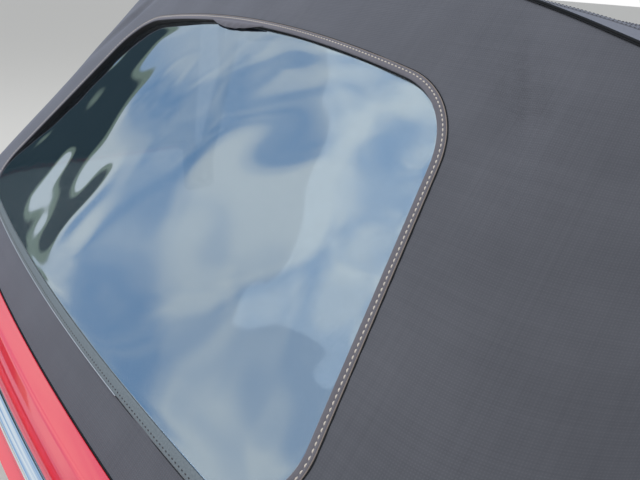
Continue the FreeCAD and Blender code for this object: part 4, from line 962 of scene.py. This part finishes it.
# %% Rubber and moulded plastic
BLOOM_WIDE = 30 * MM


def moulded(name, dark, light, roughness, grain_width, depth):
    """Moulded or extruded black material: a bloom of tone and a fine grain."""
    material = new_material(name, {"Roughness": roughness})
    tree = material.node_tree
    place = add(tree, "TexCoord")
    bloom = add(tree, "TexNoise", {
        "Vector": (place, "Object"), "Scale": 1 / BLOOM_WIDE, "Detail": 5.0})
    grain = add(tree, "TexVoronoi", {"Vector": (place, "Object"), "Scale": 1 / grain_width})
    tone = add(tree, "Mix", {
        0: (bloom, "Fac"), 6: linear(dark), 7: linear(light)}, data_type="RGBA")
    bump = add(tree, "Bump", {
        "Height": (grain, "Distance"), "Strength": 0.4, "Distance": depth})
    return set_shader(material, {"Base Color": (tone, 2), "Normal": (bump, "Normal")})


rubber = moulded("extruded_rubber", "#101011", "#1D1D1F", 0.72, 0.9 * MM, 0.05 * MM)
nylon = moulded("black_nylon", "#141416", "#1E1E21", 0.48, 0.8 * MM, 0.06 * MM)

SLOT_MATERIAL = {
    "roof_cloth": canvas, "clear_vinyl": pane_material, "woven_tape": binding_weave,
    "border_vinyl": border_material, "zip_tape": black_tape_and_shade, "zinc_steel": zinc,
    "seal_rubber": rubber, "red_paint": red_enamel, "bright_trim": chrome,
    "black_paint": black_enamel, "latch_plastic": nylon}
for part in frame["record"]["subparts"]:
    dress(frame["nodes"][part["node"]], SLOT_MATERIAL[part["material_slot"]])
for slot, pieces in SLOT_PIECES.items():
    for piece in pieces:
        dress(piece, SLOT_MATERIAL[slot])
# The pale border cord is a painted highlight; the black piping is a painted shadow line.
for piece, material in (
        (border_highlight_cord, highlight_material), (tape_lip, lip_material), (shadow_cord, black_tape_and_shade),
        (crumpled_lip, binding_weave), (tape_thread, thread_material), (border_thread, dark_thread),
        (main_thread, dark_thread), (front_thread, dark_thread)):
    dress(piece, material)
print("materials", len(bpy.data.materials))

# %% [markdown]
# The rear fabric, the window with all that is sewn on them, and the roof's rear and middle panels
# keep their places baked into their meshes and belong to no body. The front panel with its welt
# and thread goes with the roof's front, the main welt and its thread with the main frame, and the
# collar and bright strip with the deck.

# %% How the soft pieces ride
sewn_on = [binding, border, border_highlight_cord, border_shade_cord, tape_lip, shadow_cord, zip_and_shade_wall, crumpled_lip,
           tape_thread, border_thread, drip_strip_and_edge_shade]
for piece in (rear_fabric, pane, *sewn_on):
    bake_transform(piece)
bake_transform(roof_rear)
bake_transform(roof_mid)
for piece, body in (
        (roof_front, "roof_front"), (front_welt, "roof_front"), (front_thread, "roof_front"),
        (main_welt, "main_frame"), (main_thread, "main_frame"), (collar, "deck"), (strip, "deck")):
    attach(piece, body)
print("pieces that bend with the rear bow", len(sewn_on) + 2)

# %% [markdown]
# The cloths and the window are cut flat and then sewn and stretched over the bows. Their flat
# cuts are listed as a trimmer would list them: width, length, what each rests on and the pieces
# sewn to it, the last two not used. Each mesh's area is printed beside that of its cut.

# %% Flat cuts
def middle_area(piece):
    """Area of a piece's own mesh, one face of the cloth, in square metres."""
    areas = np.zeros(len(piece.data.polygons), dtype=np.float32)
    piece.data.polygons.foreach_get("area", areas)
    return float(areas.sum(dtype=np.float64))


for piece, width, length, rests_on, with_pieces in (
        (rear_fabric, 2.60, 0.60, ["rear_bow", "deck_seal"], sewn_on),
        (pane, 0.90, 0.43, ["rear_fabric"], []),
        (roof_rear, 1.24, 0.26, ["rear_bow", "main_bow"], [main_welt, main_thread]),
        (roof_mid, 1.21, 0.27, ["main_bow", "front_bow"], [front_welt, front_thread]),
        (roof_front, 1.17, 0.27, ["front_bow", "header"], [])):
    area = middle_area(piece)
    print(piece.name, "square metres", round(area, 3), "of a cut of", round(width * length, 3))

# %% [markdown]
# Camera: the place and direction that a fit of the window's outline and the body edge to the
# photograph gave. Its matrix is written from the three axes of the view.

# %% Camera
CAMERA_AT = np.array([0.6660, -0.0882, 0.4127])
VIEW_RIGHT = np.array([0.6160, 0.7859, 0.0542])
VIEW_UP = np.array([-0.3660, 0.2245, 0.9031])
FOCAL_PIXELS, IMAGE_WIDTH, SENSOR_MM = 571.1, 640, 36

camera = bpy.data.objects.new("camera", bpy.data.cameras.new("camera"))
camera.data.sensor_width = SENSOR_MM
camera.data.lens = FOCAL_PIXELS / IMAGE_WIDTH * SENSOR_MM
camera.data.clip_start = 0.01
view_axes = np.stack([VIEW_RIGHT, VIEW_UP, np.cross(VIEW_RIGHT, VIEW_UP), CAMERA_AT], -1)
camera.matrix_world = Matrix(view_axes.tolist() + [[0, 0, 0, 1]])
scene.collection.objects.link(camera)
scene.camera = camera
scene.view_settings.view_transform = "Standard"
print("lens, mm", round(camera.data.lens, 2))

# %% [markdown]
# A studio: a pale floor, one broad soft lamp over the rear and an even white surround. The floor
# lies under the lowest loop of the folded roof. Glossy rays meet an open sky instead, pale blue
# with streaks of cloud and a dark belt of trees near the horizon, because a flexible window and
# lacquered paint show mostly what they mirror.

# %% Floor, lamp and surround
FLOOR_Z, FLOOR_HALF = -0.33, 30
corners = [(-1, -1), (1, -1), (1, 1), (-1, 1)]
floor = new_piece(
    "floor", np.array([(x * FLOOR_HALF, y * FLOOR_HALF, FLOOR_Z) for x, y in corners]),
    np.array([[0, 1, 2, 3]]))
dress(floor, new_material("pale_floor", {"Base Color": linear("#DCDCDA"), "Roughness": 0.9}))

LAMP_AT, LAMP_TURN, LAMP_SIDE, LAMP_WATTS = (-0.9, -0.8, 2.6), (-22, 18), 2.5, 45
lamp_data = bpy.data.lights.new("soft_lamp", "AREA")
lamp_data.shape, lamp_data.size, lamp_data.energy = "SQUARE", LAMP_SIDE, LAMP_WATTS
lamp = bpy.data.objects.new("soft_lamp", lamp_data)
about_y, about_x = (
    Matrix.Rotation(math.radians(turn), 4, axis) for turn, axis in zip(LAMP_TURN, "YX"))
lamp.matrix_world = Matrix.Translation(LAMP_AT) @ about_y @ about_x
lamp.visible_glossy = False
scene.collection.objects.link(lamp)

scene.world = bpy.data.worlds.new("studio")
scene.world.use_nodes = True
tree = scene.world.node_tree
way = add(tree, "TexCoord")
height = add(tree, "SeparateXYZ", {"Vector": (way, "Generated")})
stretched = add(tree, "Mapping", {
    "Vector": (way, "Generated"), "Scale": (1.2, 3.2, 2.2), "Rotation": (0.3, 0.9, 0.75)})
clouds = add(tree, "TexNoise", {
    "Vector": (stretched, "Vector"), "Scale": 1.4, "Detail": 3.0, "Roughness": 0.45,
    "Distortion": 0.4})
cover = add(tree, "MapRange", {
    "Value": (clouds, "Fac"), "From Min": 0.32, "From Max": 0.62}, interpolation_type="SMOOTHSTEP")
sky = add(tree, "Mix", {
    0: (cover, "Result"), 6: linear("#86ABD4"), 7: linear("#DDE7EE")}, data_type="RGBA")
rising = add(tree, "Math", {0: (height, "Z"), 1: 2.2}, operation="MULTIPLY")
turning = add(tree, "Math", {0: (rising, "Value"), 1: (height, "Y")}, operation="SUBTRACT")
ragged = add(tree, "Math", {
    0: (clouds, "Fac"), 1: -0.10, 2: (turning, "Value")}, operation="MULTIPLY_ADD")
trees = add(tree, "MapRange", {
    "Value": (ragged, "Value"), "From Min": 0.625, "From Max": 0.66})
ground = add(tree, "Mix", {
    0: (trees, "Result"), 6: linear("#35464F"), 7: linear("#84958C")}, data_type="RGBA")
belt = add(tree, "MapRange", {
    "Value": (ragged, "Value"), "From Min": 0.695, "From Max": 0.715},
    interpolation_type="SMOOTHSTEP")
mirrored_sky = add(tree, "Mix", {
    0: (belt, "Result"), 6: (ground, 2), 7: (sky, 2)}, data_type="RGBA")
rays = add(tree, "LightPath")
clear_rays = add(tree, "Math", {
    0: (rays, "Is Camera Ray"), 1: (rays, "Is Transmission Ray")}, operation="MAXIMUM")
plain = add(tree, "Mix", {
    0: (clear_rays, "Value"), 6: linear("#D4D4D4"), 7: linear("#FFFFFF")}, data_type="RGBA")
surround = add(tree, "Mix", {
    0: (rays, "Is Glossy Ray"), 6: (plain, 2), 7: (mirrored_sky, 2)}, data_type="RGBA")
set_inputs(tree, tree.nodes["Background"], {"Color": (surround, 2), "Strength": 1.0})
print("floor at, m", FLOOR_Z)
